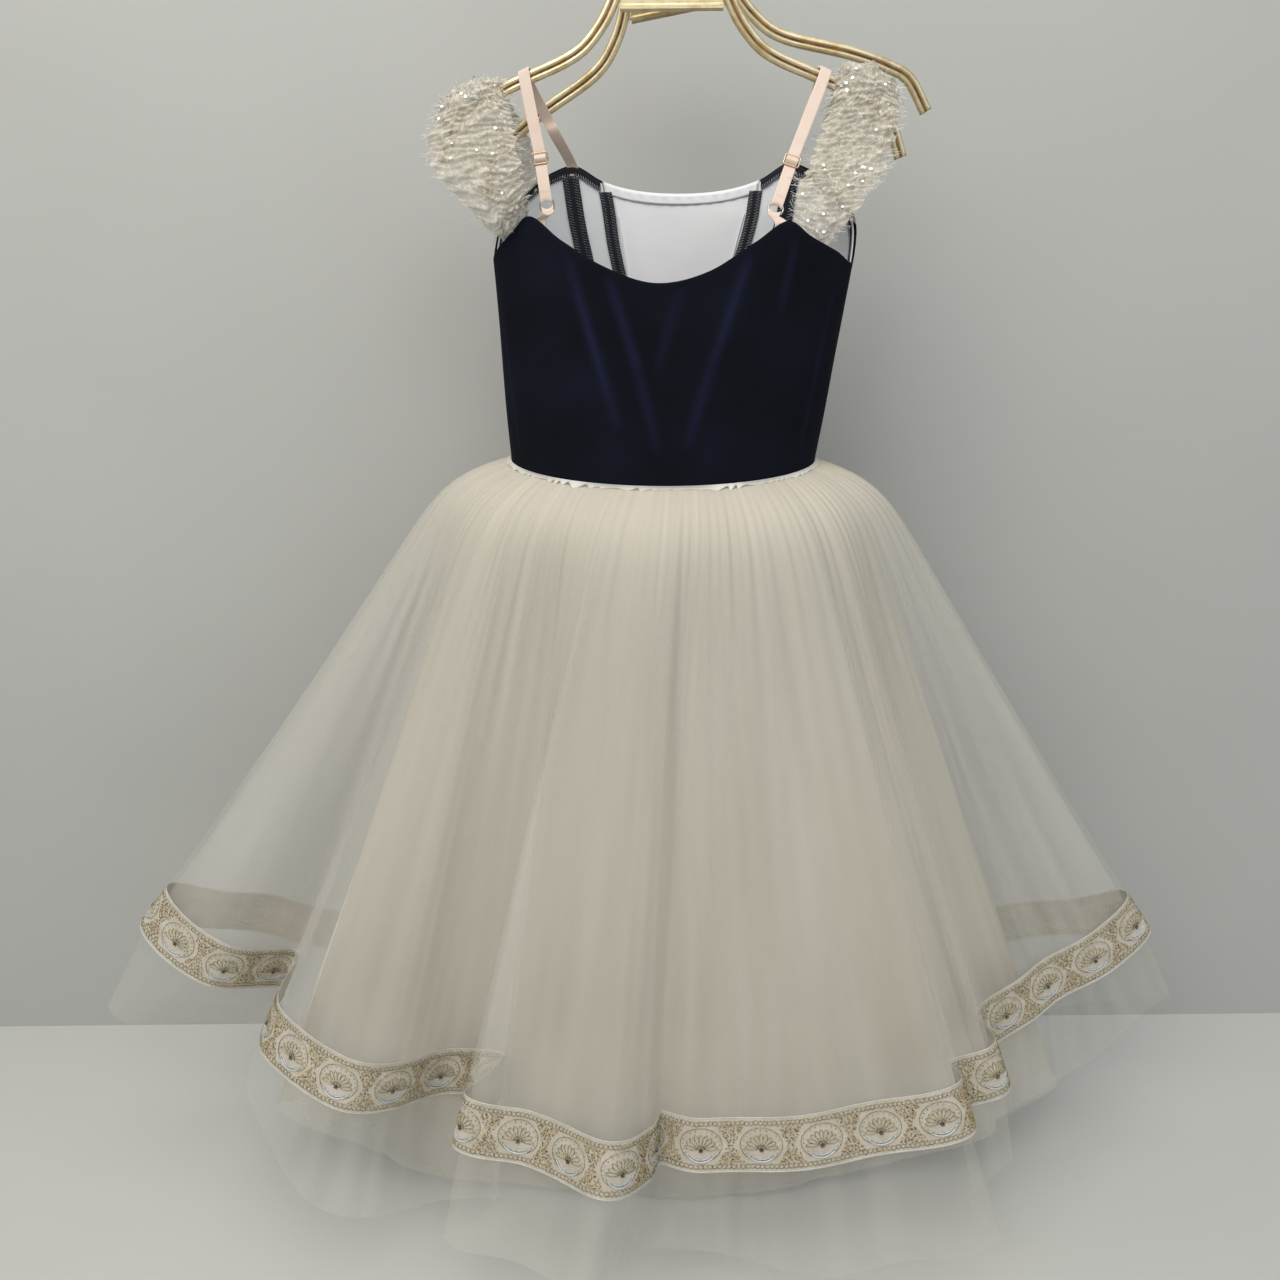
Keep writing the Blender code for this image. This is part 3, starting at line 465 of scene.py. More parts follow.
# %% Bodice surface
GAP = 0.0003
OUTWARD_STEP = 0.01
WAIST_Z = -0.444
CHEST_Z = -0.273
WAIST_CENTRE = (-0.009, 0.0)
CHEST_CENTRE = (-0.002, 0.0)
WAIST_HALF = (0.1295, 0.062)
CHEST_HALF = (0.1485, 0.048)
WAIST_TURN = math.radians(-6.0)
CHEST_TURN = math.radians(-12.0)
WAIST_DIP = 0.011
TOP_LEVEL = 1.15
VELVET = 0.0012
LINING = 0.0010
LINING_GAP = 0.0004
LINING_LOWER = 0.002

# Height of the top edge by bearing in degrees: 0 is the right side, 90 the front, 270 the back.
TOP_EDGE = [
    ("right side", 0, -0.281),
    ("right armhole", 12, -0.257),
    ("right front armhole", 30, -0.232),
    ("right front strap", 45, -0.214),
    ("right front corner", 54, -0.209),
    ("right neckline", 64, -0.221),
    ("front neckline", 90, -0.2315),
    ("left neckline", 116, -0.221),
    ("left front corner", 126, -0.209),
    ("left front strap", 135, -0.214),
    ("left front armhole", 150, -0.232),
    ("left armhole", 168, -0.257),
    ("left side", 180, -0.278),
    ("left back armhole", 204, -0.2685),
    ("left back shoulder", 215, -0.2575),
    ("left back strap", 223, -0.2470),
    ("left scoop", 238, -0.265),
    ("left low scoop", 252, -0.283),
    ("back", 270, -0.296),
    ("right low scoop", 286, -0.287),
    ("right scoop", 300, -0.266),
    ("right back strap", 311, -0.2510),
    ("right back shoulder", 320, -0.2615),
    ("right back armhole", 334, -0.2725),
    ("right side again", 360, -0.281),
]


def turned(x, y, angle):
    """Places turned about the origin: x cos - y sin, and x sin + y cos."""
    return x * np.cos(angle) - y * np.sin(angle), x * np.sin(angle) + y * np.cos(angle)


def bodice_at(bearing, z, inset=0.0):
    """An ellipse that grows and turns with height; a point moves inwards along the ellipse's normal by
    inset."""
    level = np.clip((z - WAIST_Z) / (CHEST_Z - WAIST_Z), -0.2, TOP_LEVEL)
    angle = np.radians(bearing)
    half_x = WAIST_HALF[0] + (CHEST_HALF[0] - WAIST_HALF[0]) * level
    half_y = WAIST_HALF[1] + (CHEST_HALF[1] - WAIST_HALF[1]) * level
    out_x = np.cos(angle) / half_x
    out_y = np.sin(angle) / half_y
    step = inset / np.hypot(out_x, out_y)
    turn = WAIST_TURN + (CHEST_TURN - WAIST_TURN) * level
    x, y = turned(half_x * np.cos(angle) - out_x * step, half_y * np.sin(angle) - out_y * step, turn)
    x = x + WAIST_CENTRE[0] + (CHEST_CENTRE[0] - WAIST_CENTRE[0]) * level
    y = y + WAIST_CENTRE[1] + (CHEST_CENTRE[1] - WAIST_CENTRE[1]) * level
    return np.stack([x, y, np.broadcast_to(z, x.shape)], axis=-1)


def waist_height(bearing):
    """The waist seam dips at the back."""
    return WAIST_Z - WAIST_DIP * np.clip(-np.sin(np.radians(bearing)), 0, 1)


def top_height(bearing):
    """The top edge: a cubic between the table's rows, with the table's own slopes."""
    bearings = np.array([row[1] for row in TOP_EDGE], float)
    heights = np.array([row[2] for row in TOP_EDGE], float)
    bearing = np.asarray(bearing, float) % 360
    slopes = np.gradient(heights, bearings)
    slopes[0] = slopes[-1] = (slopes[0] + slopes[-1]) / 2
    at = np.clip(np.searchsorted(bearings, bearing, side="right") - 1, 0, len(bearings) - 2)
    width = bearings[at + 1] - bearings[at]
    t = (bearing - bearings[at]) / width
    start = (1 + 2 * t) * (1 - t) ** 2 * heights[at] + t * (1 - t) ** 2 * width * slopes[at]
    end = t**2 * (3 - 2 * t) * heights[at + 1] + t**2 * (t - 1) * width * slopes[at + 1]
    return start + end


# %% [markdown]
# Six panels make the bodice, with seams that slant. The velvet's pressed folds are low ridges. Each is a
# line from one bearing and height to another, and a point near the line is lifted by a bell curve and
# marked as crease; the velvet reads that mark to paint its blue crease sheen into the colour.

# %% Bodice panels
# Name, bearings of the two seams at the top edge and at the waist, columns, finish, record slot.
PANELS = [
    ("bodice_back", 180.5, 359.5, 180.5, 359.5, 240, VELVET_CLOTH, "velvet"),
    ("bodice_side_right", 0.5, 51.0, 0.5, 69.5, 70, VELVET_CLOTH, "velvet"),
    ("bodice_side_front_right", 51.5, 64.0, 70.0, 81.5, 18, VELVET_CLOTH, "velvet"),
    ("bodice_front_center", 64.5, 115.5, 82.0, 98.0, 60, CENTRE_CLOTH, "white_panel"),
    ("bodice_side_front_left", 116.0, 128.5, 98.5, 110.0, 18, VELVET_CLOTH, "velvet"),
    ("bodice_side_left", 129.0, 179.5, 110.5, 179.5, 70, VELVET_CLOTH, "velvet"),
]
PANEL_ROWS = 60
# Pressed folds: bearing and height at the upper end, then at the lower end, and strength.
CREASES = [
    (239.8, -0.276, 257.0, -0.410, 1.0),
    (254.2, -0.291, 264.0, -0.362, 0.8),
    (262.0, -0.345, 271.2, -0.430, 0.6),
    (298.8, -0.275, 289.0, -0.356, 1.0),
    (290.0, -0.345, 281.0, -0.425, 0.7),
    (314.8, -0.262, 311.5, -0.320, 0.5),
    (277.2, -0.300, 270.0, -0.368, 0.4),
    (200.0, -0.300, 206.0, -0.440, 0.4),
    (338.0, -0.300, 332.0, -0.440, 0.4),
]
CREASE_WIDE = 0.0035
CREASE_TALL = 0.0007
DRAPE = 0.0004


def crease_field(bearing, z):
    """How near each point is to a pressed fold: the sum of bells across each line, faded at the line's
    ends."""
    field = np.zeros(np.broadcast(bearing, z).shape)
    for bearing_high, z_high, bearing_low, z_low, strength in CREASES:
        share = np.clip((z_high - z) / (z_high - z_low), -0.2, 1.2)
        middle = bearing_high + (bearing_low - bearing_high) * share
        away = np.radians(bearing - middle) * CHEST_HALF[0] * 0.75 / CREASE_WIDE
        fade = np.clip(np.sin(np.clip(share, 0, 1) * math.pi), 0, 1) ** 0.5
        field += strength * np.exp(-(away**2)) * fade
    return field


def panel_grid(top_bearing, waist_bearing, lower=0.0):
    """Bearing and height go linearly from the waist seam to the top edge, or to a little below it."""
    share = np.linspace(0, 1, PANEL_ROWS)[:, None]
    bottom = waist_height(waist_bearing) + GAP
    z = bottom + (top_height(top_bearing) - lower - bottom) * share
    bearing = waist_bearing + (top_bearing - waist_bearing) * share
    return bearing, z


def panel_uv(points):
    """Lengths across and along the middle of a grid."""
    return run_along(points[len(points) // 2]), run_along(points[:, points.shape[1] // 2])


for name, top_first, top_last, waist_first, waist_last, columns, finish, slot in PANELS:
    at_top = np.linspace(top_first, top_last, columns)
    bearing, z = panel_grid(at_top, np.linspace(waist_first, waist_last, columns))
    crease = crease_field(bearing, z)
    sway = DRAPE * np.sin(bearing / 7.0) * np.sin((z - WAIST_Z) * 40.0)
    points = bodice_at(bearing, z, -CREASE_TALL * crease - sway)
    across, along = panel_uv(points)
    piece = sheet_object("fine_" + name, points, finish, "cloth", across, along, wall=VELVET)
    # The crease mark also paints the velvet's blue sheen into its colour.
    add_value(piece, "crease", crease)
    settle(piece, slot, name)
print(len(PANELS), "panels")

# %% [markdown]
# ## Inside of the bodice
# Through the scoop one looks at the inside of the front: a white lining, the white centre panel, and dark
# seam allowances whose raw edges are whipped over with grey overlock thread. The velvet is turned in along
# the top edge and overlocked too.

# %% Linings
LINING_COLUMNS = 60
LINING_ROWS = [
    ("fine_lining_right", 0.5, 64.0, 0.5, 81.5, "lining_right"),
    ("fine_lining_left", 116.0, 179.5, 98.5, 179.5, "lining_left"),
]
for name, top_first, top_last, waist_first, waist_last, node in LINING_ROWS:
    at_top = np.linspace(top_first, top_last, LINING_COLUMNS)
    at_waist = np.linspace(waist_first, waist_last, LINING_COLUMNS)
    bearing, z = panel_grid(at_top, at_waist, LINING_LOWER)
    points = bodice_at(bearing, z, VELVET + LINING_GAP)
    across, along = panel_uv(points)
    piece = sheet_object(name, points, LINING_CLOTH, "cloth", across, along, wall=LINING)
    settle(piece, "lining", node)

# %% [markdown]
# A turned hem follows the whole top edge, and a folded allowance follows each slanting seam. Both are
# narrow strips that lie 0.4 mm inside whatever is behind them.

# %% Seam allowances and turned hem
INSIDE = VELVET + LINING_GAP + LINING + 0.0004
STRIP_WALL_IN = 0.0006
TURNED_WIDE = 0.0085
# Seams inside the front: name, bearing at the waist, bearing at the top edge, half width in degrees.
SEAMS = [
    ("right_side_front", 69.75, 51.25, 3.2),
    ("right_princess", 81.75, 64.25, 2.2),
    ("left_princess", 98.25, 115.75, 2.2),
    ("left_side_front", 110.25, 128.75, 3.2),
]


def allowance_knit():
    """The wrong side of navy velvet: a plain dark knit."""
    return knit("navy_velvet_wrong_side", "#10131d", "#171b29", 0.8, 0.85, 0.0002, 0.05)


def overlock_thread():
    """Spun polyester thread: matt grey, twisted; the twist is a fine wave along the thread."""
    made, tree, shader = material("grey_overlock_thread")
    place = add(tree, "TexCoord")
    twist = add(tree, "TexNoise", {"Vector": (place, "Object"), "Scale": 900.0, "Detail": 1.0})
    tint = add(tree, "ValToRGB", {"Fac": (twist, "Fac")}, [(0.35, "#9a9ea6"), (0.65, "#d0d3d8")])
    plug(tree, tint, "Color", shader, "Base Color")
    shader.inputs["Roughness"].default_value = 0.8
    return made


ALLOWANCE_CLOTH = allowance_knit()
THREAD = overlock_thread()


def tube(path, out, radius, sides=4):
    """Points of a thin tube round each path: stations along it, sides round it; out is away from the
    cloth."""
    along = unit(np.gradient(path, axis=-2))
    side = unit(np.cross(along, out))
    lift = np.cross(side, along)
    turn = (np.arange(sides) + 0.5) * math.tau / sides
    ring = side[..., None, :] * np.cos(turn)[:, None] + lift[..., None, :] * np.sin(turn)[:, None]
    return path[..., None, :] + ring * radius


def tube_object(name, path, out, radius, finish):
    """One object of square tubes, from one path or from many of the same length, with a cap on each end."""
    sides = 4
    points = tube(path, out, radius, sides)
    stations = points.shape[-3]
    many = points.reshape(-1, stations * sides, 3)
    last = (stations - 1) * sides
    caps = [list(range(sides))[::-1], list(range(last, last + sides))]
    base = np.vstack([grid_quads(stations, sides, True), caps])
    faces = (base[None] + (np.arange(len(many)) * stations * sides)[:, None, None]).reshape(-1, 4)
    return new_mesh(name, many.reshape(-1, 3), faces[:, ::-1], [finish])


def zigzag(first, second, pitch):
    """A line that steps between two edges of a strip, one step for each pitch."""
    length = run_along(first)[-1]
    count = max(int(length / pitch), 4)
    share = np.linspace(0, 1, count)
    here = run_along(first) / length
    one = np.stack([np.interp(share, here, first[:, axis]) for axis in range(3)], axis=1)
    two = np.stack([np.interp(share, here, second[:, axis]) for axis in range(3)], axis=1)
    return np.where((np.arange(count) % 2)[:, None] == 0, one, two)


OVERLOCK_PITCH = 0.0011
ALLOWANCE_HALF = 0.004
OVERLOCK_LIFT = 2.6
THREAD_RADIUS = 0.0003

for name, waist_bearing, top_bearing, half in SEAMS:
    share = np.linspace(0, 0.965, 60)
    seam = waist_bearing + (top_bearing - waist_bearing) * share
    bottom = waist_height(seam) + GAP
    z = bottom + (top_height(seam) - bottom) * share
    sway = 0.25 * np.sin(share * 21 + waist_bearing)
    sides = np.linspace(-1, 1, 5)
    spread = seam[:, None] + half * sides + sway[:, None]
    grid = bodice_at(spread, z[:, None] + 0 * sides, INSIDE + STRIP_WALL_IN)
    across = sides * ALLOWANCE_HALF
    piece = sheet_object("allowance_" + name, grid, ALLOWANCE_CLOTH, "cloth", across, z, wall=STRIP_WALL_IN)
    settle(piece, "velvet")
    for side in (-1, 1):
        near = bodice_at(seam + side * half * 0.3 + sway, z, INSIDE + OVERLOCK_LIFT * STRIP_WALL_IN)
        far = bodice_at(seam + side * half * 0.98 + sway, z, INSIDE + OVERLOCK_LIFT * STRIP_WALL_IN)
        path = zigzag(near, far, OVERLOCK_PITCH)
        inward = np.broadcast_to([0.0, -1.0, 0.0], path.shape)
        which = "left" if side > 0 else "right"
        stitch = tube_object(f"overlock_{name}_{which}", path, inward, THREAD_RADIUS, THREAD)
        settle(stitch, "lining")

# %% Turned hem with its overlock
TURNED = [
    # name, first and last bearing, finish, slot, inset
    ("turned_hem_left", 116.5, 180.0, ALLOWANCE_CLOTH, "velvet", INSIDE),
    ("turned_hem_right", 0.0, 63.5, ALLOWANCE_CLOTH, "velvet", INSIDE),
    ("turned_hem_back", 180.5, 359.5, ALLOWANCE_CLOTH, "velvet", VELVET + 0.0004),
    ("turned_hem_center", 65.0, 115.0, CENTRE_CLOTH, "white_panel", VELVET + 0.0004),
]
for name, first, last, finish, slot, inset in TURNED:
    bearing = np.linspace(first, last, 160)
    down = np.linspace(0.0012, TURNED_WIDE, 6)[:, None]
    ruffle = 0.0003 * np.sin(np.radians(bearing) * 90) * (down > 0.003)
    grid = bodice_at(bearing + 0 * down, top_height(bearing) - down, inset + STRIP_WALL_IN + ruffle)
    across, along = panel_uv(grid)
    piece = sheet_object(name, grid, finish, "cloth", across, along, wall=STRIP_WALL_IN, flip=True)
    settle(piece, slot)
    if slot == "velvet":
        low = bodice_at(bearing, top_height(bearing) - TURNED_WIDE - 0.0012, inset + 2.4 * STRIP_WALL_IN)
        high = bodice_at(bearing, top_height(bearing) - TURNED_WIDE + 0.0028, inset + 2.4 * STRIP_WALL_IN)
        path = zigzag(low, high, OVERLOCK_PITCH)
        middle = path.mean(axis=0) * (0, 0, 1)
        inward = unit((middle - path) * (1, 1, 0))
        settle(tube_object(name + "_overlock", path, inward, THREAD_RADIUS, THREAD), "lining")

# %% Piping beside each princess seam
# Name, bearing at the waist and at the top edge.
PIPINGS = [("piping_left", 96.2, 112.4), ("piping_right", 83.8, 67.6)]
PIPING_RADIUS = 0.0006
PIPING_INSET = VELVET + 0.0008
PIPING_FOOT = 0.002
for name, waist_bearing, top_bearing in PIPINGS:
    share = np.linspace(0, 0.9, 60)
    seam = waist_bearing + (top_bearing - waist_bearing) * share
    foot = waist_height(seam) + PIPING_FOOT
    piping = bodice_at(seam, foot + (top_height(seam) - foot) * share, PIPING_INSET)
    inward = np.broadcast_to([0.0, -1.0, 0.0], piping.shape)
    settle(tube_object(name, piping, inward, PIPING_RADIUS, CENTRE_CLOTH), "white_panel")
print("inside of the bodice made")

# %% [markdown]
# ## Skirt
# The skirt's outer layers hang from the waist seam to two hems. Each hem is a closed curve seen from above
# that makes deep folds, and each point of the cloth lies between its place at the waist and its place at
# the hem, pushed out near the waist by the gathers' bulk. Ripples are laid over that: many near the waist,
# fewer further down, because gathers merge as the cloth widens.

# %% Skirt surface
OVERLAY_LENGTH = 0.590
LONG_LAYER_SHOWS = 0.110
TULLE = 0.0010
TRIM_WIDTH = 0.052
PUFF = 0.046
PUFF_RISE = 0.03
PUFF_FADE = 1.3
LAYER_GAP_WAIST = 0.0008
LAYER_GAP_HEM = 0.0045
SKIRT_DROP = 0.0004

# The hems seen from above, anticlockwise from the left tip: name, x and y of the overlay's hem, then x and
# y of the long layer's hem below it.
HEM_BACK = [
    ("left tip", -0.514, 0.000, -0.570, 0.008),
    ("left wing", -0.451, -0.036, -0.527, -0.004),
    ("left wing end", -0.388, 0.004, -0.440, 0.050),
    ("second cone edge", -0.381, -0.100, -0.423, -0.060),
    ("second cone", -0.310, -0.147, -0.344, -0.146),
    ("second cone middle", -0.261, -0.130, -0.278, -0.156),
    ("second cone end", -0.213, -0.094, -0.219, -0.118),
    ("tuck behind third cone", -0.160, -0.092, -0.168, -0.104),
    ("third cone edge", -0.196, -0.176, -0.217, -0.168),
    ("third cone", -0.138, -0.191, -0.156, -0.196),
    ("third cone crest", -0.067, -0.237, -0.088, -0.240),
    ("third cone end", -0.033, -0.208, -0.065, -0.206),
    ("tuck behind third cone end", -0.020, -0.176, -0.036, -0.172),
    ("fourth cone", 0.018, -0.193, 0.014, -0.180),
    ("fourth cone middle", 0.075, -0.197, 0.075, -0.200),
    ("fourth cone bulge", 0.155, -0.191, 0.170, -0.212),
    ("fourth cone end", 0.250, -0.186, 0.284, -0.200),
    ("tuck behind fourth cone", 0.257, -0.145, 0.284, -0.142),
    ("fifth cone", 0.297, -0.132, 0.325, -0.105),
    ("tuck behind fifth cone", 0.296, -0.070, 0.318, -0.052),
    ("sixth cone", 0.350, -0.044, 0.375, -0.030),
    ("sixth cone end", 0.381, -0.026, 0.406, -0.010),
    ("right wing", 0.428, -0.018, 0.478, 0.018),
]
HEM_FRONT = [
    ("right tip", 0.466, 0.006, 0.518, 0.032),
    ("right wing behind", 0.415, 0.042, 0.465, 0.066),
    ("front fold", 0.330, 0.080, 0.368, 0.098),
    ("front valley", 0.245, 0.092, 0.272, 0.106),
    ("front fold", 0.150, 0.136, 0.168, 0.146),
    ("front valley", 0.060, 0.118, 0.068, 0.126),
    ("front fold", -0.040, 0.140, -0.045, 0.148),
    ("front valley", -0.130, 0.116, -0.146, 0.126),
    ("front fold", -0.220, 0.130, -0.247, 0.140),
    ("front valley", -0.310, 0.085, -0.350, 0.100),
    ("left wing behind", -0.430, 0.058, -0.490, 0.074),
]
COLUMN_STEPS = 28
UPPER_ROWS = np.concatenate([np.linspace(0, 0.10, 13)[:-1], np.linspace(0.10, 1, 40)])
FLAP_ROWS = np.linspace(0, 1, 11)[1:]


def outward_of(points):
    """Directions out of a closed grid: down the cloth crossed with along it, longer at a sharp fold's
    corner."""
    ahead = unit(np.roll(points, -1, axis=1) - points)
    along = unit(ahead + np.roll(ahead, 1, axis=1))
    corner = (ahead * along).sum(axis=-1, keepdims=True)
    return unit(np.cross(np.gradient(points, axis=0), along)) / np.clip(corner, 0.5, 1)


def puff(share):
    """How far the gathers stand out of the straight line from waist to hem, as a share of the puff."""
    return np.clip(1 - share, 0, 1) ** PUFF_FADE * (1 - np.exp(-share / PUFF_RISE))


def skirt_surface():
    """Rows from the waist seam to the overlay's hem and on to the long layer's hem, and each column's
    bearing."""
    rows = HEM_BACK + HEM_FRONT
    hem = spline([row[1:3] for row in rows], COLUMN_STEPS, closed=True)
    long_hem = spline([row[3:5] for row in rows], COLUMN_STEPS, closed=True)
    tip = COLUMN_STEPS * len(HEM_BACK)
    run = run_along(np.vstack([hem, hem[:1]]))
    bearing = np.interp(run[:-1], [0.0, run[tip], run[-1]], [180, 360, 540])
    share = UPPER_ROWS[:, None]
    waist = bodice_at(bearing, waist_height(bearing))
    out = unit(bodice_at(bearing, waist_height(bearing), -OUTWARD_STEP)[:, :2] - waist[:, :2])
    reach = hem - waist[:, :2]
    drop = np.sqrt(OVERLAY_LENGTH**2 - (reach**2).sum(axis=1))
    plan = waist[None, :, :2] + reach[None] * share[..., None] + out[None] * (PUFF * puff(share))[..., None]
    z = waist_height(bearing) - SKIRT_DROP - drop * share
    upper = np.concatenate([plan, z[..., None]], axis=-1)
    long_z = z[-1] - np.sqrt(LONG_LAYER_SHOWS**2 - ((long_hem - hem) ** 2).sum(axis=1))
    last = np.column_stack([long_hem, long_z])
    flap = upper[-1] + (last - upper[-1]) * FLAP_ROWS[:, None, None]
    return np.concatenate([upper, flap]), bearing, run[-1]


# Waves round the skirt, height, where they are strongest and how far they spread, as shares of the length.
RIPPLE_FAMILIES = [
    (128, 0.0007, 0.06, 0.09),
    (71, 0.0011, 0.22, 0.18),
    (37, 0.0013, 0.50, 0.35),
    (19, 0.0042, 1.0, 0.62),
]
BROAD_WAVES = 20
BROAD_OUTWARD = 0.6


def gathers(share, turn, seed, tall):
    """Ripple height: four families of waves round the skirt, each strongest at its own depth, with uneven
    spacing."""
    count = len(turn)
    ripple = np.zeros((len(share), count))
    for index, (waves, height, depth, spread) in enumerate(RIPPLE_FAMILIES):
        drift = 2.2 * wander(seed + index, count, 9)
        strength = 0.65 + 0.35 * wander(seed + 10 + index, count, 23)
        bell = np.exp(-(((share - depth) / spread) ** 2))
        outward = BROAD_OUTWARD * (waves < BROAD_WAVES)
        ripple += height * bell[:, None] * (strength * np.sin(math.tau * waves * turn + drift) + outward)
    start = 1 - np.exp(-share / 0.015)
    return tall * ripple * start[:, None]


base, column_bearing, hem_length = skirt_surface()
base_out = outward_of(base)
base_share = np.concatenate([UPPER_ROWS, np.full(len(FLAP_ROWS), 1.0)])
base_turn = (column_bearing - 180) / 360
# Ripples are held back where a fold is tight, so that the layers stay apart there.
tight = np.linalg.norm(base_out, axis=-1)
calm = np.clip(1.6 - tight, 0, 1) / 0.6
fold_edges = 0.35 * np.clip(tight - 1.02, 0, 0.6)
shared_ripple = gathers(base_share, base_turn, 11, 1.0) * np.clip(calm, 0, 1)
base = base + unit(base_out) * shared_ripple[..., None]
base_out = outward_of(base)
upper_count = len(UPPER_ROWS)
print("skirt grid", base.shape[:2], "hem", round(hem_length, 2), "m")

# %% [markdown]
# The outer layer, the trim and the long layer are this one surface, moved in by the gap between layers. The
# long layer shows below the trim.

# %% Outer skirt layers
WAIST_CROWD = 0.55
STREAK_WAVES = 110
STREAK_LINES = 5
FLUTTER = 0.0035
FLUTTER_WAVES = 19


def cover_of(share, count, seed, least, most, crowd, hem=1.0):
    """How much the net hides: soft streaks that drift down the cloth, and more where it is drawn in at the
    waist."""
    lines = np.array([wander(seed + index, count, STREAK_WAVES) for index in range(STREAK_LINES)])
    at = share * (STREAK_LINES - 1) * 0.999
    low = at.astype(int)
    part = (at - low)[:, None]
    field = np.clip(0.42 + 0.9 * (lines[low] * (1 - part) + lines[low + 1] * part), 0, 1)
    drawn = crowd * (np.exp(-share / 0.10) + 0.25 * np.exp(-share / 0.45))
    thinned = 1 - (1 - hem) * np.clip((share - 0.82) / 0.18, 0, 1) ** 2
    return np.clip(least + (most - least) * field + drawn[:, None], 0, 1) * thinned[:, None]


overlay = base[:upper_count]
# One turn round the skirt is 0 to 1 in the UV map, and its second coordinate is metres down the cloth.
down_cloth = run_along(overlay[:, 0])
piece = sheet_object(
    "fine_skirt_overlay", overlay, OUTER_NET, "gathers", base_turn, down_cloth, closed=True, flip=True
)
cover = cover_of(UPPER_ROWS, len(base_turn), 200, 0.05, 0.22, WAIST_CROWD)
add_value(piece, "cover", cover + fold_edges[:upper_count])
settle(piece, "tulle", "skirt_overlay")

depth = TULLE + LAYER_GAP_WAIST + (LAYER_GAP_HEM - LAYER_GAP_WAIST) * base_share
flap_share = np.concatenate([np.zeros(upper_count), FLAP_ROWS])
flutter_phase = math.tau * FLUTTER_WAVES * base_turn + 2.5 * wander(5, len(base_turn), 11)
flutter = FLUTTER * flap_share[:, None] * np.sin(flutter_phase)
flutter = flutter * np.clip(calm, 0, 1)
long_layer = base - base_out * depth[:, None, None] + unit(base_out) * flutter[..., None]
down_cloth = run_along(long_layer[:, 0])
piece = sheet_object(
    "fine_skirt_long", long_layer, OUTER_NET, "gathers", base_turn, down_cloth, closed=True, flip=True
)
cover = cover_of(base_share, len(base_turn), 220, 0.07, 0.25, WAIST_CROWD)
add_value(piece, "cover", cover + fold_edges)
settle(piece, "tulle", "skirt_long")
print("outer layers made")

# %% [markdown]
# Under them hang denser gathered layers that give the skirt its body. They are plain cones with shallow
# folds, one inside another.

# %% Inner layers
INNER_HALF = (0.405, 0.084)
INNER_CENTRE = (-0.014, 0.012)
INNER_FOLDS = 9
INNER_FOLD_DEPTH = 0.05
INNER_PUFF = 0.034
INNER_INSET = 0.0020
INNER_STEP_IN = 0.03
INNER_RIPPLE_MOST = 0.002
INNER_DROP = 0.0036
INNER_COLUMNS = 800
INNER_ROWS = np.concatenate([np.linspace(0, 0.10, 11)[:-1], np.linspace(0.10, 1, 38)])
# Name, size beside the CAD cone, length, seed, finish, cover (least, most, at the waist, at the hem), and
# the node it replaces.
INNER_LAYERS = [
    ("inner_layer_first", 0.975, 0.715, 31, GATHERED_NET, (0.40, 0.72, 0.3, 0.45), ["skirt_inner"]),
    ("inner_layer_second", 0.90, 0.640, 47, INNER_NET, (1.0, 1.0, 0.0, 0.25), []),
]


def inner_surface(size, length, seed):
    """An ellipse at the hem with shallow folds, joined to the waist by straight lines, puffed out and
    rippled."""
    bearing = np.arange(INNER_COLUMNS) * 360 / INNER_COLUMNS
    angle = np.radians(bearing)
    drift = 0.8 * wander(seed, INNER_COLUMNS, 5)
    fold = 1 + INNER_FOLD_DEPTH * np.cos(INNER_FOLDS * angle + drift)
    hem_x = INNER_CENTRE[0] + size * INNER_HALF[0] * np.cos(angle) * fold
    hem_y = INNER_CENTRE[1] + size * INNER_HALF[1] * np.sin(angle) * fold
    top_z = waist_height(bearing) - INNER_DROP
    inset = INNER_INSET + INNER_STEP_IN * (1 - size)
    waist = bodice_at(bearing, top_z, inset)
    out = unit(bodice_at(bearing, top_z, inset - OUTWARD_STEP)[:, :2] - waist[:, :2])
    share = INNER_ROWS[:, None]
    reach = np.stack([hem_x, hem_y], axis=1) - waist[:, :2]
    drop = np.sqrt(length**2 - (reach**2).sum(axis=1))
    pushed = size**3 * INNER_PUFF * puff(share)
    plan = waist[None, :, :2] + reach[None] * share[..., None] + out[None] * pushed[..., None]
    points = np.concatenate([plan, (top_z - drop * share)[..., None]], axis=-1)
    ripple = gathers(INNER_ROWS, np.arange(INNER_COLUMNS) / INNER_COLUMNS, seed, 0.7)
    return points + unit(outward_of(points)) * np.minimum(ripple, INNER_RIPPLE_MOST)[..., None]


for name, size, length, seed, finish, cover, replaced in INNER_LAYERS:
    points = inner_surface(size, length, seed)
    turn = np.arange(INNER_COLUMNS) / INNER_COLUMNS
    down_cloth = run_along(points[:, 0])
    piece = sheet_object(name, points, finish, "gathers", turn, down_cloth, closed=True, flip=True)
    add_value(piece, "cover", cover_of(INNER_ROWS, INNER_COLUMNS, seed + 200, *cover))
    settle(piece, "tulle", *replaced)

# %% Frill at the waist seam
FRILL_REACH = 0.0075
FRILL_RISE = 0.0016
FRILL_COLUMNS = 1440
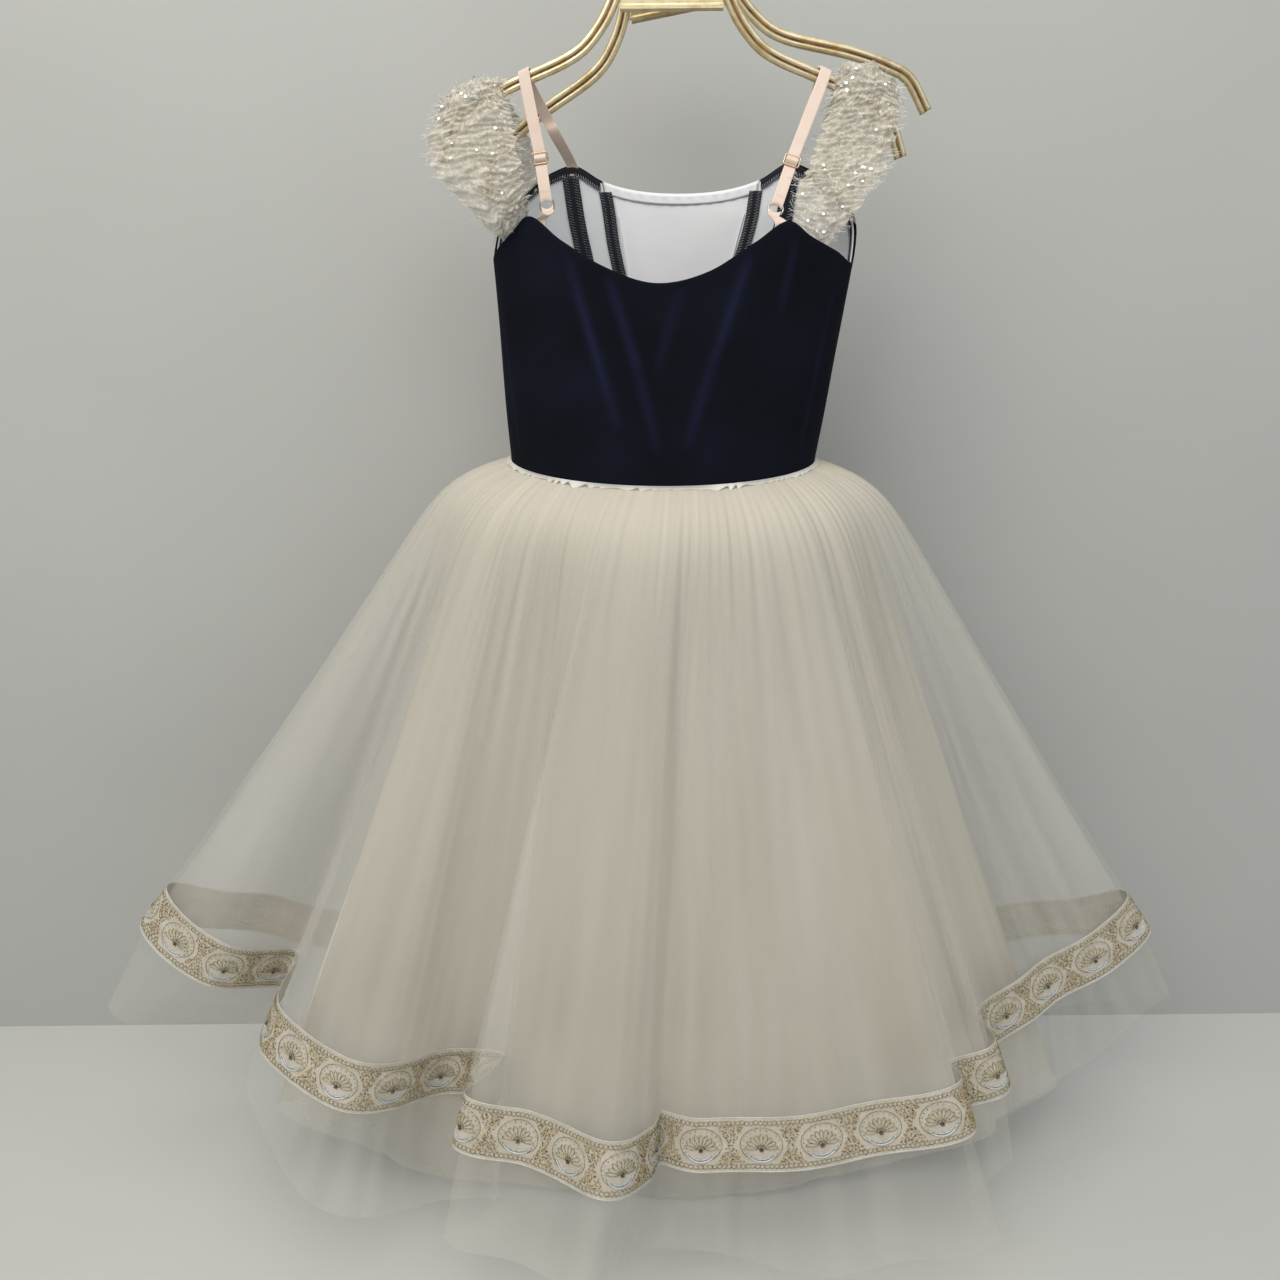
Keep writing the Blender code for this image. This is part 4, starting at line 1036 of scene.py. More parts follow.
# Where the frill stands up out of the gathers: bearing and half width in degrees, and how far.
FRILL_TUFTS = [
    (237.0, 10.0, 1.0),
    (297.0, 7.0, 1.3),
    (262.0, 6.0, 0.4),
    (330.0, 14.0, 0.5),
    (200.0, 12.0, 0.5),
    (90.0, 60.0, 0.5),
]
bearing = np.arange(FRILL_COLUMNS) * 360 / FRILL_COLUMNS
tuft = sum(high * np.exp(-(((bearing - place) / half) ** 2)) for place, half, high in FRILL_TUFTS)
uneven = 0.55 + 0.45 * wander(71, FRILL_COLUMNS, 60)
wave = np.sin(np.radians(bearing) * 64 + 9 * wander(72, FRILL_COLUMNS, 30)) * uneven
share = np.linspace(0, 1, 8)[:, None]
stand = 0.25 + 0.75 * np.clip(tuft, 0, 1.3)
height = waist_height(bearing) + FRILL_RISE * (1 - 1.6 * share) + 0.0034 * stand * wave * share**1.2
reach = -0.0008 - (FRILL_REACH * (0.4 + 0.6 * stand * uneven) - 0.0008) * share
frill_points = bodice_at(bearing + 0.7 * wave * share, height, reach)
up_strip = share[:, 0] * 0.01
piece = sheet_object(
    "fine_waist_frill", frill_points, FRILL_NET, "gathers", bearing / 360, up_strip, closed=True, flip=True
)
add_value(piece, "cover", np.broadcast_to(0.35 + 0.45 * np.clip(stand, 0, 1), frill_points.shape[:2]))
settle(piece, "tulle", "waist_frill")
print("frill area", round(grid_area(frill_points) * 1e4, 1), "square cm")
print("inner layers and frill made")

# %% [markdown]
# ## Beaded trim
# A 52 mm border of net is sewn along the overlay's hem. It carries fans of thread petals over a pale
# crescent, one every 52 mm, with gold beads massed between them and a chain of small loops along both
# edges. Each ornament is a small shape in flat coordinates, along the hem and up from it. All its copies
# are laid on the cloth at once, by looking up the cloth's place and normal at those coordinates.

# %% Cloth coordinates of the trim
TRIM_ROWS = 14
TRIM_LIFT = 0.0006
MOTIF_PITCH = 0.052


def resample_rows(points, shares, wanted):
    """The grid's rows at other shares of its length, by straight lines between rows."""
    at = np.interp(wanted, shares, np.arange(len(shares)))
    low = np.clip(np.floor(at).astype(int), 0, len(shares) - 2)
    part = (at - low)[:, None, None]
    return points[low] * (1 - part) + points[low + 1] * part


trim_up = np.linspace(0, TRIM_WIDTH, TRIM_ROWS)
trim_grid = resample_rows(overlay, UPPER_ROWS, 1 - trim_up / OVERLAY_LENGTH)
trim_out = unit(resample_rows(unit(base_out[:upper_count]), UPPER_ROWS, 1 - trim_up / OVERLAY_LENGTH))
trim_run = run_along(np.concatenate([trim_grid[TRIM_ROWS // 2], trim_grid[TRIM_ROWS // 2][:1]]))
trim_length = trim_run[-1]
MOTIFS = round(trim_length / MOTIF_PITCH)
PITCH_ALONG = trim_length / MOTIFS
print("trim", round(trim_length, 3), "m,", MOTIFS, "motifs")


def on_trim(along, up, lift):
    """A point of the trim: the grid and its normals looked up between rows and columns, then lifted off the
    cloth."""
    column = np.interp(along % trim_length, trim_run, np.arange(len(trim_run)))
    left = np.floor(column).astype(int)
    part = (column - left)[..., None]
    row = np.clip(up / TRIM_WIDTH, 0, 1) * (TRIM_ROWS - 1)
    low = np.clip(np.floor(row).astype(int), 0, TRIM_ROWS - 2)
    rise = (row - low)[..., None]
    count = trim_grid.shape[1]
    here = left % count
    there = (left + 1) % count
    found = []
    for grid in (trim_grid, trim_out):
        lower = grid[low, here] * (1 - part) + grid[low, there] * part
        upper = grid[low + 1, here] * (1 - part) + grid[low + 1, there] * part
        found.append(lower * (1 - rise) + upper * rise)
    return found[0] + unit(found[1]) * (TRIM_LIFT + lift)[..., None]


def stamp(name, template, faces, places, finish):
    """Copies of a flat template, one at each place, laid on the trim as one object."""
    along = places[:, 0, None] + template[None, :, 0]
    up = places[:, 1, None] + template[None, :, 1]
    lift = np.broadcast_to(template[None, :, 2], along.shape)
    points = on_trim(along, up, lift).reshape(-1, 3)
    offsets = np.arange(len(places)) * len(template)
    many = (faces[None] + offsets[:, None, None]).reshape(-1, faces.shape[1])
    return new_mesh(name, points, many, [finish])


# %% Trim finishes


def metal_bead(name, low, high, roughness):
    """Plated glass or plastic beads: metal with each bead's tone a little its own, and the pale end of the
    spread partly painted glints.
    """
    made, tree, shader = material(name)
    place = add(tree, "TexCoord")
    spread = add(tree, "TexNoise", {"Vector": (place, "Object"), "Scale": 420.0, "Detail": 1.0})
    # Partly painted light: the pale end of the spread stands for glints as well as for the beads' own tone.
    tint = add(tree, "ValToRGB", {"Fac": (spread, "Fac")}, [(0.32, low), (0.68, high)])
    plug(tree, tint, "Color", shader, "Base Color")
    shader.inputs["Metallic"].default_value = 0.4
    shader.inputs["Roughness"].default_value = roughness
    return made


def lurex_thread(name, low, high):
    """Embroidery thread with a metal foil: half metal, with a fine twist of pale and dark along it that is
    partly the thread's own two tones and partly painted glints.
    """
    made, tree, shader = material(name)
    place = add(tree, "TexCoord")
    twist = add(tree, "TexNoise", {"Vector": (place, "Object"), "Scale": 800.0, "Detail": 2.0})
    # Partly painted light: the pale steps of the twist stand for glints on the foil as well as for its own
    # tone.
    tint = add(tree, "ValToRGB", {"Fac": (twist, "Fac")}, [(0.35, low), (0.65, high)])
    plug(tree, tint, "Color", shader, "Base Color")
    shader.inputs["Metallic"].default_value = 0.35
    shader.inputs["Roughness"].default_value = 0.5
    return made


def border_net():
    """The trim's ground: a close cream net, drawn as a 1.6 mm mesh so that it shows."""
    made, tree, shader = material("cream_border_net")
    uv = add(tree, "UVMap", uv_map="cloth")
    holes = add(tree, "TexVoronoi", {"Vector": (uv, "UV"), "Scale": 620.0}, feature="DISTANCE_TO_EDGE")
    cloud = add(tree, "TexNoise", {"Vector": (uv, "UV"), "Scale": 60.0, "Detail": 3.0})
    cover = add(
        tree,
        "MapRange",
        {"Value": (holes, "Distance"), "From Min": 0.05, "From Max": 0.35, "To Min": 0.97, "To Max": 0.78},
    )
    plug(tree, cover, "Result", shader, "Alpha")
    tint = add(tree, "ValToRGB", {"Fac": (cloud, "Fac")}, [(0.3, "#cbc2b1"), (0.7, "#dfd8ca")])
    plug(tree, tint, "Color", shader, "Base Color")
    shader.inputs["Roughness"].default_value = 0.8
    bump = add(tree, "Bump", {"Height": (holes, "Distance"), "Strength": 0.4, "Distance": 0.0003})
    plug(tree, bump, "Normal", shader, "Normal")
    return made


BORDER_NET = border_net()
GOLD_BEADS = metal_bead("antique_gold_beads", "#6b5424", "#ddc47c", 0.3)
DARK_BEADS = metal_bead("dark_silver_beads", "#4a4640", "#8f8a80", 0.3)
LOOP_THREAD = lurex_thread("grey_gold_lurex_thread", "#7c7150", "#e0d6ba")
PETAL_THREAD = lurex_thread("silver_gold_lurex_thread", "#7f6e42", "#e6dcbc")
PALE_THREAD = lurex_thread("pale_crescent_thread", "#cdd1d3", "#e9ecec")

# %% Trim ground
ground = trim_grid + unit(trim_out) * TRIM_LIFT
down_cloth = OVERLAY_LENGTH - trim_up[::-1]
trim_ground = sheet_object(
    "fine_skirt_trim", ground[::-1], BORDER_NET, "cloth", trim_run[:-1], down_cloth, closed=True, flip=True
)
settle(trim_ground, "trim", "skirt_trim")
trim_pieces = []

# %% [markdown]
# Each small shape is a ridge: a line with a triangular cross-section, whose foot lies on the net. A petal
# is a closed teardrop, a chain link is a closed ring, and a crescent is an open arc that thins to its ends.


# %% Ornament templates
def ridge(path, width, tall, closed):
    """A line's ridge: left foot, crest and right foot at each station. Closed lines join up again."""
    if closed:
        along = np.roll(path, -1, axis=0) - np.roll(path, 1, axis=0)
    else:
        along = np.gradient(path, axis=0)
    side = unit(np.stack([-along[:, 1], along[:, 0]], axis=1))
    width = np.broadcast_to(width, len(path))[:, None]
    tall = np.broadcast_to(tall, len(path))
    left = np.column_stack([path + side * width / 2, np.zeros(len(path))])
    crest = np.column_stack([path, tall])
    right = np.column_stack([path - side * width / 2, np.zeros(len(path))])
    points = np.stack([left, crest, right], axis=1).reshape(-1, 3)
    if closed:
        quads = grid_quads(len(path) + 1, 3, True) % len(points)
    else:
        quads = grid_quads(len(path), 3, True)
    return points, quads


def joined(parts):
    """Several templates as one."""
    points = np.concatenate([part[0] for part in parts])
    offsets = np.cumsum([0] + [len(part[0]) for part in parts[:-1]])
    faces = np.concatenate([part[1] + offset for part, offset in zip(parts, offsets)])
    return points, faces


CORE_UP = 0.0215
PETAL_LINE = 0.0007
LOOP_LINE = 0.0008
LINE_TALL = 0.0009
LINK_RADIUS = 0.0021
OVAL_HALF = (0.0182, 0.0158)
INNER_OVAL_HALF = (0.0160, 0.0136)
BORDER_MIDDLE = 0.026


def petal(angle, start, length, width):
    """A teardrop outline: half a cosine along its axis, a sine across, wider away from the core."""
    turn = np.arange(10) * math.tau / 10
    out = start + length * (1 - np.cos(turn)) / 2
    across = width / 2 * np.sin(turn) * (0.55 + 0.45 * (1 - np.cos(turn)) / 2) * 1.5
    path = np.stack(turned(out, across, angle), axis=1)
    return ridge(path, PETAL_LINE, LINE_TALL, True)


fan = joined([petal(math.radians(angle), 0.0032, 0.0112, 0.0028) for angle in np.linspace(8, 172, 9)])
fan[0][:, 1] += CORE_UP


def crescent(radius, half_angle, width, drop):
    """An arc below the core that thins to both ends."""
    angle = np.radians(np.linspace(270 - half_angle, 270 + half_angle, 14))
    path = np.stack([radius * np.cos(angle), CORE_UP + drop + radius * np.sin(angle)], axis=1)
    thin = np.cos(np.linspace(-1, 1, 14) * math.pi / 2 * 0.93)
    return ridge(path, width * thin + 0.0004, 0.0012 * thin + 0.0002, False)


leaves = joined([crescent(0.0146, 74, 0.0024, 0.0030), crescent(0.0115, 62, 0.0012, 0.0022)])
turn = np.arange(8) * math.tau / 8
link = ridge(LINK_RADIUS * np.stack([np.cos(turn), np.sin(turn)], axis=1), LOOP_LINE, LINE_TALL, True)


def ellipse(half, count):
    """Places round an ellipse in the middle of the border."""
    around = np.arange(count) * math.tau / count
    return np.stack([half[0] * np.cos(around), BORDER_MIDDLE + half[1] * np.sin(around)], axis=1)


oval = ridge(ellipse(OVAL_HALF, 28), LOOP_LINE, LINE_TALL, True)

# %% Ornaments
motif = np.arange(MOTIFS) * PITCH_ALONG
centres = np.column_stack([motif, np.zeros(MOTIFS)])
trim_pieces.append(stamp("trim_petals", *fan, centres, PETAL_THREAD))
trim_pieces.append(stamp("trim_crescents", *leaves, centres, PALE_THREAD))
trim_pieces.append(stamp("trim_ovals", *oval, centres, LOOP_THREAD))
PALE_BEADS = metal_bead("silver_lined_beads", "#8b887f", "#f0eee6", 0.25)

LINKS_EACH = 13
CHAIN_UP = [("upper", 0.0462), ("lower", 0.0058)]
EDGE_UP = [("upper", 0.0514), ("lower", 0.0008)]
LINKS = LINKS_EACH * MOTIFS
link_along = np.arange(LINKS) * trim_length / LINKS
rng = np.random.default_rng(8)
for name, up in CHAIN_UP:
    places = np.column_stack([link_along, up + rng.normal(0, 0.0002, LINKS)])
    trim_pieces.append(stamp("trim_chain_" + name, *link, places, LOOP_THREAD))


def octahedron(radius, flat):
    """A bead: six points, eight faces, a little flattened, its foot on the net."""
    points = np.array([(1, 0, 0), (0, 1, 0), (-1, 0, 0), (0, -1, 0), (0, 0, 1), (0, 0, -1)], float) * radius
    points[:, 2] = (points[:, 2] + radius) * flat
    faces = np.array([(0, 1, 4), (1, 2, 4), (2, 3, 4), (3, 0, 4), (1, 0, 5), (2, 1, 5), (3, 2, 5), (0, 3, 5)])
    return points, faces


def bead_places(seed, spacing):
    """A jittered grid of beads between two motifs: wide at the top and bottom of the border, narrow in the
    middle."""
    rng = np.random.default_rng(seed)
    across, up = np.meshgrid(np.arange(-0.013, 0.013, spacing), np.arange(0.0095, 0.0435, spacing * 0.9))
    across = across + (np.arange(across.shape[0]) % 2)[:, None] * spacing / 2
    height = np.abs(up - BORDER_MIDDLE) / 0.0165
    keep = np.abs(across) < 0.0030 + 0.0085 * height**1.4
    flat = np.column_stack([across[keep], up[keep]])
    many = flat[None] + rng.normal(0, spacing * 0.24, (MOTIFS, *flat.shape))
    many[..., 0] += (motif + PITCH_ALONG / 2)[:, None]
    return many.reshape(-1, 2)


GOLD_BEAD = 0.00085
PALE_BEAD = 0.0008
CORE_BEAD = 0.0011
places = bead_places(21, 0.0023)
trim_pieces.append(stamp("trim_gold_beads", *octahedron(GOLD_BEAD, 0.8), places, GOLD_BEADS))
places = (centres[:, None] + ellipse(INNER_OVAL_HALF, 20)).reshape(-1, 2)
trim_pieces.append(stamp("trim_pale_beads", *octahedron(PALE_BEAD, 0.8), places, PALE_BEADS))
core = [(0, 0), (0.0015, 0.0007), (-0.0015, 0.0007), (0.0008, -0.0012), (-0.0008, -0.0012), (0, 0.0019)]
places = (centres[:, None] + (0, CORE_UP) + np.array(core)).reshape(-1, 2)
trim_pieces.append(stamp("trim_core_beads", *octahedron(CORE_BEAD, 1.0), places, DARK_BEADS))
CORD_RADIUS = 0.0004
cord_along = np.linspace(0, trim_length, 2200)[:-1]
for name, up in EDGE_UP:
    edge = on_trim(cord_along, np.full_like(cord_along, up), np.zeros_like(cord_along))
    out = on_trim(cord_along, np.full_like(cord_along, up), np.full_like(cord_along, 0.001)) - edge
    points = tube(np.vstack([edge, edge[:1]]), np.vstack([out, out[:1]]), CORD_RADIUS, 4)[:-1]
    faces = grid_quads(len(points) + 1, 4, True) % (len(points) * 4)
    trim_pieces.append(new_mesh("trim_edge_" + name, points.reshape(-1, 3), faces[:, ::-1], [PALE_THREAD]))
for piece in trim_pieces:
    settle(piece, "trim")
print(len(trim_pieces), "kinds of ornament")

# %% [markdown]
# ## Lace bands
# A band is a strip of sequinned net, gathered on elastic, that loops from the back of the armhole over the
# hanger's end to the front. Its gathers run across it as sharp little ridges that wander and merge, its
# edges are scalloped by them, and loose eyelash threads stand out of its edges.

# %% Band surface
# Rows of each loop: name, x and z of the inner edge, of the middle and of the outer edge, then y.
BANDS = {
    "left": {
        "back": (222, 203),
        "front": (140, 166),
        "loop": [
            ("low", -0.1168, -0.2345, -0.1338, -0.2441, -0.1507, -0.2507, -0.012),
            ("middle", -0.1184, -0.2088, -0.1498, -0.2130, -0.1825, -0.2155, -0.017),
            ("high", -0.1223, -0.1848, -0.1565, -0.1850, -0.1902, -0.1935, -0.013),
            ("shoulder", -0.1280, -0.1639, -0.1556, -0.1629, -0.1834, -0.1741, -0.009),
            ("near brow", -0.1310, -0.1525, -0.1558, -0.1550, -0.1790, -0.1670, -0.0058),
            ("ridge", -0.1324, -0.1470, -0.1559, -0.1515, -0.1761, -0.1635, 0.0005),
            ("far brow", -0.1310, -0.1510, -0.1558, -0.1550, -0.1790, -0.1670, 0.0095),
            ("far shoulder", -0.1280, -0.1620, -0.1556, -0.1629, -0.1834, -0.1741, 0.030),
            ("far high", -0.1200, -0.1800, -0.1520, -0.1850, -0.1860, -0.1980, 0.042),
        ],
    },
    "right": {
        "back": (313, 331),
        "front": (40, 14),
        "loop": [
            ("low", 0.0949, -0.2327, 0.1218, -0.2358, 0.1494, -0.2339, -0.040),
            ("middle", 0.1037, -0.2147, 0.1339, -0.2164, 0.1640, -0.2153, -0.026),
            ("high", 0.1122, -0.1929, 0.1424, -0.1917, 0.1719, -0.1920, -0.014),
            ("shoulder", 0.1214, -0.1698, 0.1490, -0.1644, 0.1764, -0.1703, -0.008),
            ("near brow", 0.1280, -0.1520, 0.1495, -0.1490, 0.1740, -0.1610, -0.0058),
            ("ridge", 0.1302, -0.1450, 0.1500, -0.1419, 0.1715, -0.1542, 0.0),
            ("far brow", 0.1280, -0.1520, 0.1495, -0.1490, 0.1740, -0.1610, 0.0060),
            ("far shoulder", 0.1240, -0.1680, 0.1490, -0.1650, 0.1740, -0.1730, 0.0095),
            ("far high", 0.1200, -0.1880, 0.1440, -0.1900, 0.1700, -0.1960, 0.014),
        ],
    },
}
BAND_TUCK = 0.006
BAND_RISE = 0.003
BAND_FRONT_RISE = 0.012
BAND_BACK_INSET = 0.0026
BAND_EASE = 0.0015
BAND_FRONT_INSET = 0.0042
BAND_STEPS = 30
BAND_COLUMNS = 60
RUCHE_LANES = 8
RIDGE_PITCH = 0.0115
RIDGE_TALL = 0.0034
FINE_PITCH = 0.0047
FINE_TALL = 0.0007
LUMP_TALL = 0.0022
DOME_TALL = 0.0022
END_FADE = 0.02
SCALLOP = 0.0016


def tucked(bearings, below, inset):
    """Three places just inside the bodice's top edge."""
    bearing = np.linspace(*bearings, 3)
    return bodice_at(bearing, top_height(bearing) - below, inset)


def band_surface(band):
    """A curve through each of three rows of places, and a parabola across through the three curves."""
    rows = [tucked(band["back"], BAND_TUCK, BAND_BACK_INSET)]
    rows.append(tucked(band["back"], -BAND_RISE, BAND_BACK_INSET + BAND_EASE))
    for _, inner_x, inner_z, x, z, outer_x, outer_z, y in band["loop"]:
        rows.append(np.array([(inner_x, y, inner_z), (x, y, z), (outer_x, y, outer_z)]))
    for below in (-BAND_FRONT_RISE, -BAND_RISE, BAND_TUCK):
        rows.append(tucked(band["front"], below, BAND_FRONT_INSET))
    inner, middle, outer = [spline(column, BAND_STEPS) for column in np.swapaxes(rows, 0, 1)]
    w = np.linspace(-1, 1, BAND_COLUMNS)[None, :, None]
    return (inner[:, None] * (w**2 - w) + outer[:, None] * (w**2 + w)) / 2 + middle[:, None] * (1 - w**2)


def ruched(points, seed):
    """Ridges across the band. Their height is a sharpened sine of the length along the band, whose phase
    wanders both ways so that ridges slant and merge; edges are drawn in and out by the same ridges."""
    rows, columns = points.shape[:2]
    along = unit(np.gradient(points, axis=0))
    across = unit(np.gradient(points, axis=1))
    out = unit(np.cross(along, across))
    centre = points.mean(axis=(0, 1))
    out = out * np.sign(((points - centre) * out).sum(axis=-1).mean())
    length = run_along(points[:, columns // 2])
    w = np.linspace(-1, 1, columns)[None, :]
    lanes = np.array([wander(seed + lane, rows, 20, periodic=False) for lane in range(RUCHE_LANES)])
    blend = np.stack([np.interp(w[0], np.linspace(-1, 1, RUCHE_LANES), values) for values in lanes.T])
    lumps = np.stack([np.interp(w[0], np.linspace(-1, 1, RUCHE_LANES), values) for values in lanes[::-1].T])
    phase = math.tau * length[:, None] / RIDGE_PITCH + 4.2 * blend + 1.4 * w
    fine = math.tau * length[:, None] / FINE_PITCH + 6.0 * lumps - 1.6 * w
    sharp = 1 - np.abs(np.sin(phase / 2)) ** 0.9
    height = RIDGE_TALL * sharp * (0.75 + 0.5 * lumps) + FINE_TALL * np.sin(fine) + LUMP_TALL * lumps
    dome = DOME_TALL * (1 - w**2)
    ends = np.clip(np.minimum(length, length[-1] - length) / END_FADE, 0, 1)[:, None]
    edge = np.sign(w) * np.abs(w) ** 4
    scallop = SCALLOP * edge * np.sin(phase)
    moved = points + out * ((height + dome) * ends)[..., None] + across * (scallop * ends)[..., None]
    return moved, out, across, length


def sequin_lace():
    """Nylon net with embroidered sprigs: a cloudy pattern of denser thread, partly see-through between."""
    made, tree, shader = material("cream_sequin_lace")
    uv = add(tree, "UVMap", uv_map="cloth")
    sprigs = add(
        tree,
        "TexNoise",
        {"Vector": (uv, "UV"), "Scale": 210.0, "Detail": 5.0, "Roughness": 0.7, "Distortion": 1.5},
    )
    net = add(tree, "TexVoronoi", {"Vector": (uv, "UV"), "Scale": 900.0}, feature="DISTANCE_TO_EDGE")
    cover = add(
        tree,
        "MapRange",
        {"Value": (sprigs, "Fac"), "From Min": 0.42, "From Max": 0.62, "To Min": 0.55, "To Max": 0.97},
    )
    plug(tree, cover, "Result", shader, "Alpha")
    creams = [(0.36, "#c2bba9"), (0.55, "#d7d0c1"), (0.7, "#ece8df")]
    tint = add(tree, "ValToRGB", {"Fac": (sprigs, "Fac")}, creams)
    plug(tree, tint, "Color", shader, "Base Color")
    shader.inputs["Roughness"].default_value = 0.7
    shader.inputs["Sheen Weight"].default_value = 0.3
    raised = add(tree, "Math", {0: (sprigs, "Fac"), 1: (net, "Distance")}, operation="SUBTRACT")
    bump = add(tree, "Bump", {"Height": (raised, "Value"), "Strength": 0.6, "Distance": 0.0006})
    plug(tree, bump, "Normal", shader, "Normal")
    return made


def clear_sequin():
    """Iridescent plastic film: glossy; its iridescent highlights are painted into the colour as a cloud of
    pale green, cream and pink tints.
    """
    made, tree, shader = material("iridescent_sequin")
    place = add(tree, "TexCoord")
    # Painted reflection: a cloud of pale green, cream and pink tints stands for the film's iridescent
    # highlights.
    painted_iridescence = add(tree, "TexNoise", {"Vector": (place, "Object"), "Scale": 260.0})
    painted_iridescent_tints = [(0.35, "#d9efe8"), (0.5, "#f6f2e6"), (0.65, "#f0dcea")]
    tint = add(tree, "ValToRGB", {"Fac": (painted_iridescence, "Fac")}, painted_iridescent_tints)
    plug(tree, tint, "Color", shader, "Base Color")
    shader.inputs["Roughness"].default_value = 0.12
    shader.inputs["Metallic"].default_value = 0.5
    return made


LACE = sequin_lace()
SEQUIN = clear_sequin()
EYELASH = lurex_thread("white_eyelash_thread", "#dedbd2", "#f6f4ee")

# %% Bands, sequins and eyelash threads
SEQUINS = 110
SEQUIN_LIFT = 0.0006
SEQUIN_RADIUS = 0.0012
SEQUIN_THICK = 0.0002
LASH_RADIUS = 0.00018
LASH_UP = (0.13, 0.21, 0.97)
LASHES = 520
LASH_STATIONS = 5


def discs(name, middles, out, across, radius, seed, finish):
    """Six-sided discs, each tilted a little its own way."""
    rng = np.random.default_rng(seed)
    tilt = unit(out + rng.normal(0, 0.35, out.shape))
    first = unit(np.cross(tilt, across))
    second = np.cross(tilt, first)
    turn = np.arange(6) * math.tau / 6
    rim = first[:, None] * np.cos(turn)[:, None] + second[:, None] * np.sin(turn)[:, None]
    low = middles[:, None] + rim * radius
    high = low + tilt[:, None] * SEQUIN_THICK
    points = np.concatenate([low, high], axis=1).reshape(-1, 3)
    quads = np.array([(0, 1, 2, 3), (0, 3, 4, 5), (9, 8, 7, 6), (11, 10, 9, 6)])
    sides = np.array([(k, k + 6, (k + 1) % 6 + 6, (k + 1) % 6) for k in range(6)])
    faces = np.concatenate([quads[:, ::-1], sides[:, ::-1]])
    many = (faces[None] + (np.arange(len(middles)) * 12)[:, None, None]).reshape(-1, 4)
    obj = new_mesh(name, points, many, [finish])
    obj.data.polygons.foreach_set("use_smooth", np.zeros(len(many), bool))
    return obj


for index, (side, band) in enumerate(BANDS.items()):
    seed = 100 + 50 * index
    flat_band = band_surface(band)
    points, out, across, length = ruched(flat_band, seed)
    width = run_along(flat_band[len(flat_band) // 2])
    inwards = bool((np.cross(across, unit(np.gradient(points, axis=0))) * out).sum() < 0)
    piece = sheet_object("lace_band_" + side, points, LACE, "cloth", width, length, flip=inwards)
    settle(piece, "lace", "band_" + side)
    rng = np.random.default_rng(seed + 1)
    margin = BAND_STEPS
    row = rng.integers(margin, len(points) - margin, SEQUINS)
    column = rng.integers(2, BAND_COLUMNS - 2, SEQUINS)
    on = (row, column)
    places = points[on] + out[on] * SEQUIN_LIFT
    sequins = discs("sequins_" + side, places, out[on], across[on], SEQUIN_RADIUS, seed + 2, SEQUIN)
    settle(sequins, "lace")
    row = rng.integers(margin, len(points) - margin, LASHES)
    at_edge = rng.random(LASHES) < 0.6
    edge_column = np.where(rng.random(LASHES) < 0.5, 0, BAND_COLUMNS - 1)
    column = np.where(at_edge, edge_column, rng.integers(0, BAND_COLUMNS, LASHES))
    on = (row, column)
    edge_side = np.where(column == 0, -1, np.where(column == BAND_COLUMNS - 1, 1, 0))
    away = edge_side[:, None] * across[on]
    lift = out[on] * (0.15 + 0.25 * rng.random((LASHES, 1)))
    heading = unit(away * 1.2 + lift + rng.normal(0, 0.35, (LASHES, 3)))
    bend = rng.normal(0, 0.45, (LASHES, 3))
    reach = (0.0022 + 0.0045 * rng.random(LASHES))[:, None, None]
    step = np.linspace(0, 1, LASH_STATIONS)[None, :, None]
    paths = points[on][:, None] + (heading[:, None] * step + bend[:, None] * step**2 * 0.5) * reach
    upward = np.broadcast_to(LASH_UP, paths.shape)
    lashes = tube_object("eyelash_" + side, paths, upward, LASH_RADIUS, EYELASH)
    settle(lashes, "lace")
    print("band", side, round(length[-1], 3), "m along")

# %% [markdown]
# ## Hangers
# Both hangers are bent from a grooved metal strip, plated and brushed to a pale gold. The strip has two
# rounded ribs with a dark painted groove between them. A profile of that shape is carried along the arch's
# line. The plates and hooks keep their CAD shape and get the same finish.

# %% Hanger finish
STRIP_TALL = 0.010
STRIP_DEEP = 0.007
REAR_Y = 0.030
HANGERS = [
    ("hanger_front", 0.0, 0.0, 0.0),
    ("hanger_rear", -0.009, REAR_Y, math.radians(10.0)),
]
ARM = [
    ("crown", 0.0, -0.0580),
    ("crown side", 0.020, -0.0590),
    ("crown corner", 0.0335, -0.0680),
    ("plate side", 0.0405, -0.0830),
    ("shoulder", 0.0475, -0.0990),
    ("below shoulder", 0.0560, -0.1125),
    ("hollow", 0.0680, -0.1255),
    ("arm start", 0.0840, -0.1350),
    ("arm", 0.1100, -0.1455),
    ("arm end", 0.1300, -0.1540),
    ("bend", 0.1540, -0.1670),
    ("drop", 0.1700, -0.1800),
    ("tip", 0.1805, -0.2060),
]


def brushed_metal(name, low, high, roughness, grain):
    """Plated steel, brushed: grain is drawn as streaks 0.8 mm apart that run along x, with small wear
    spots."""
    made, tree, shader = material(name)
    place = add(tree, "TexCoord")
    stretch = add(tree, "Mapping", {"Vector": (place, "Object"), "Scale": (60.0, 1200.0, 1200.0)})
    streak = add(tree, "TexNoise", {"Vector": (stretch, "Vector"), "Scale": 1.0, "Detail": 2.0})
    wear = add(tree, "TexNoise", {"Vector": (place, "Object"), "Scale": 55.0, "Detail": 4.0, "Roughness": 0.7})
    tint = add(tree, "ValToRGB", {"Fac": (wear, "Fac")}, [(0.30, low), (0.55, high)])
    plug(tree, tint, "Color", shader, "Base Color")
    shader.inputs["Metallic"].default_value = 1.0
    smoothest, roughest = roughness - 0.06, roughness + 0.1
    rough = add(
        tree,
        "MapRange",
        {"Value": (streak, "Fac"), "From Min": 0.3, "From Max": 0.7, "To Min": smoothest, "To Max": roughest},
    )
    plug(tree, rough, "Result", shader, "Roughness")
    bump = add(tree, "Bump", {"Height": (streak, "Fac"), "Strength": grain, "Distance": 0.0001})
    plug(tree, bump, "Normal", shader, "Normal")
    return made


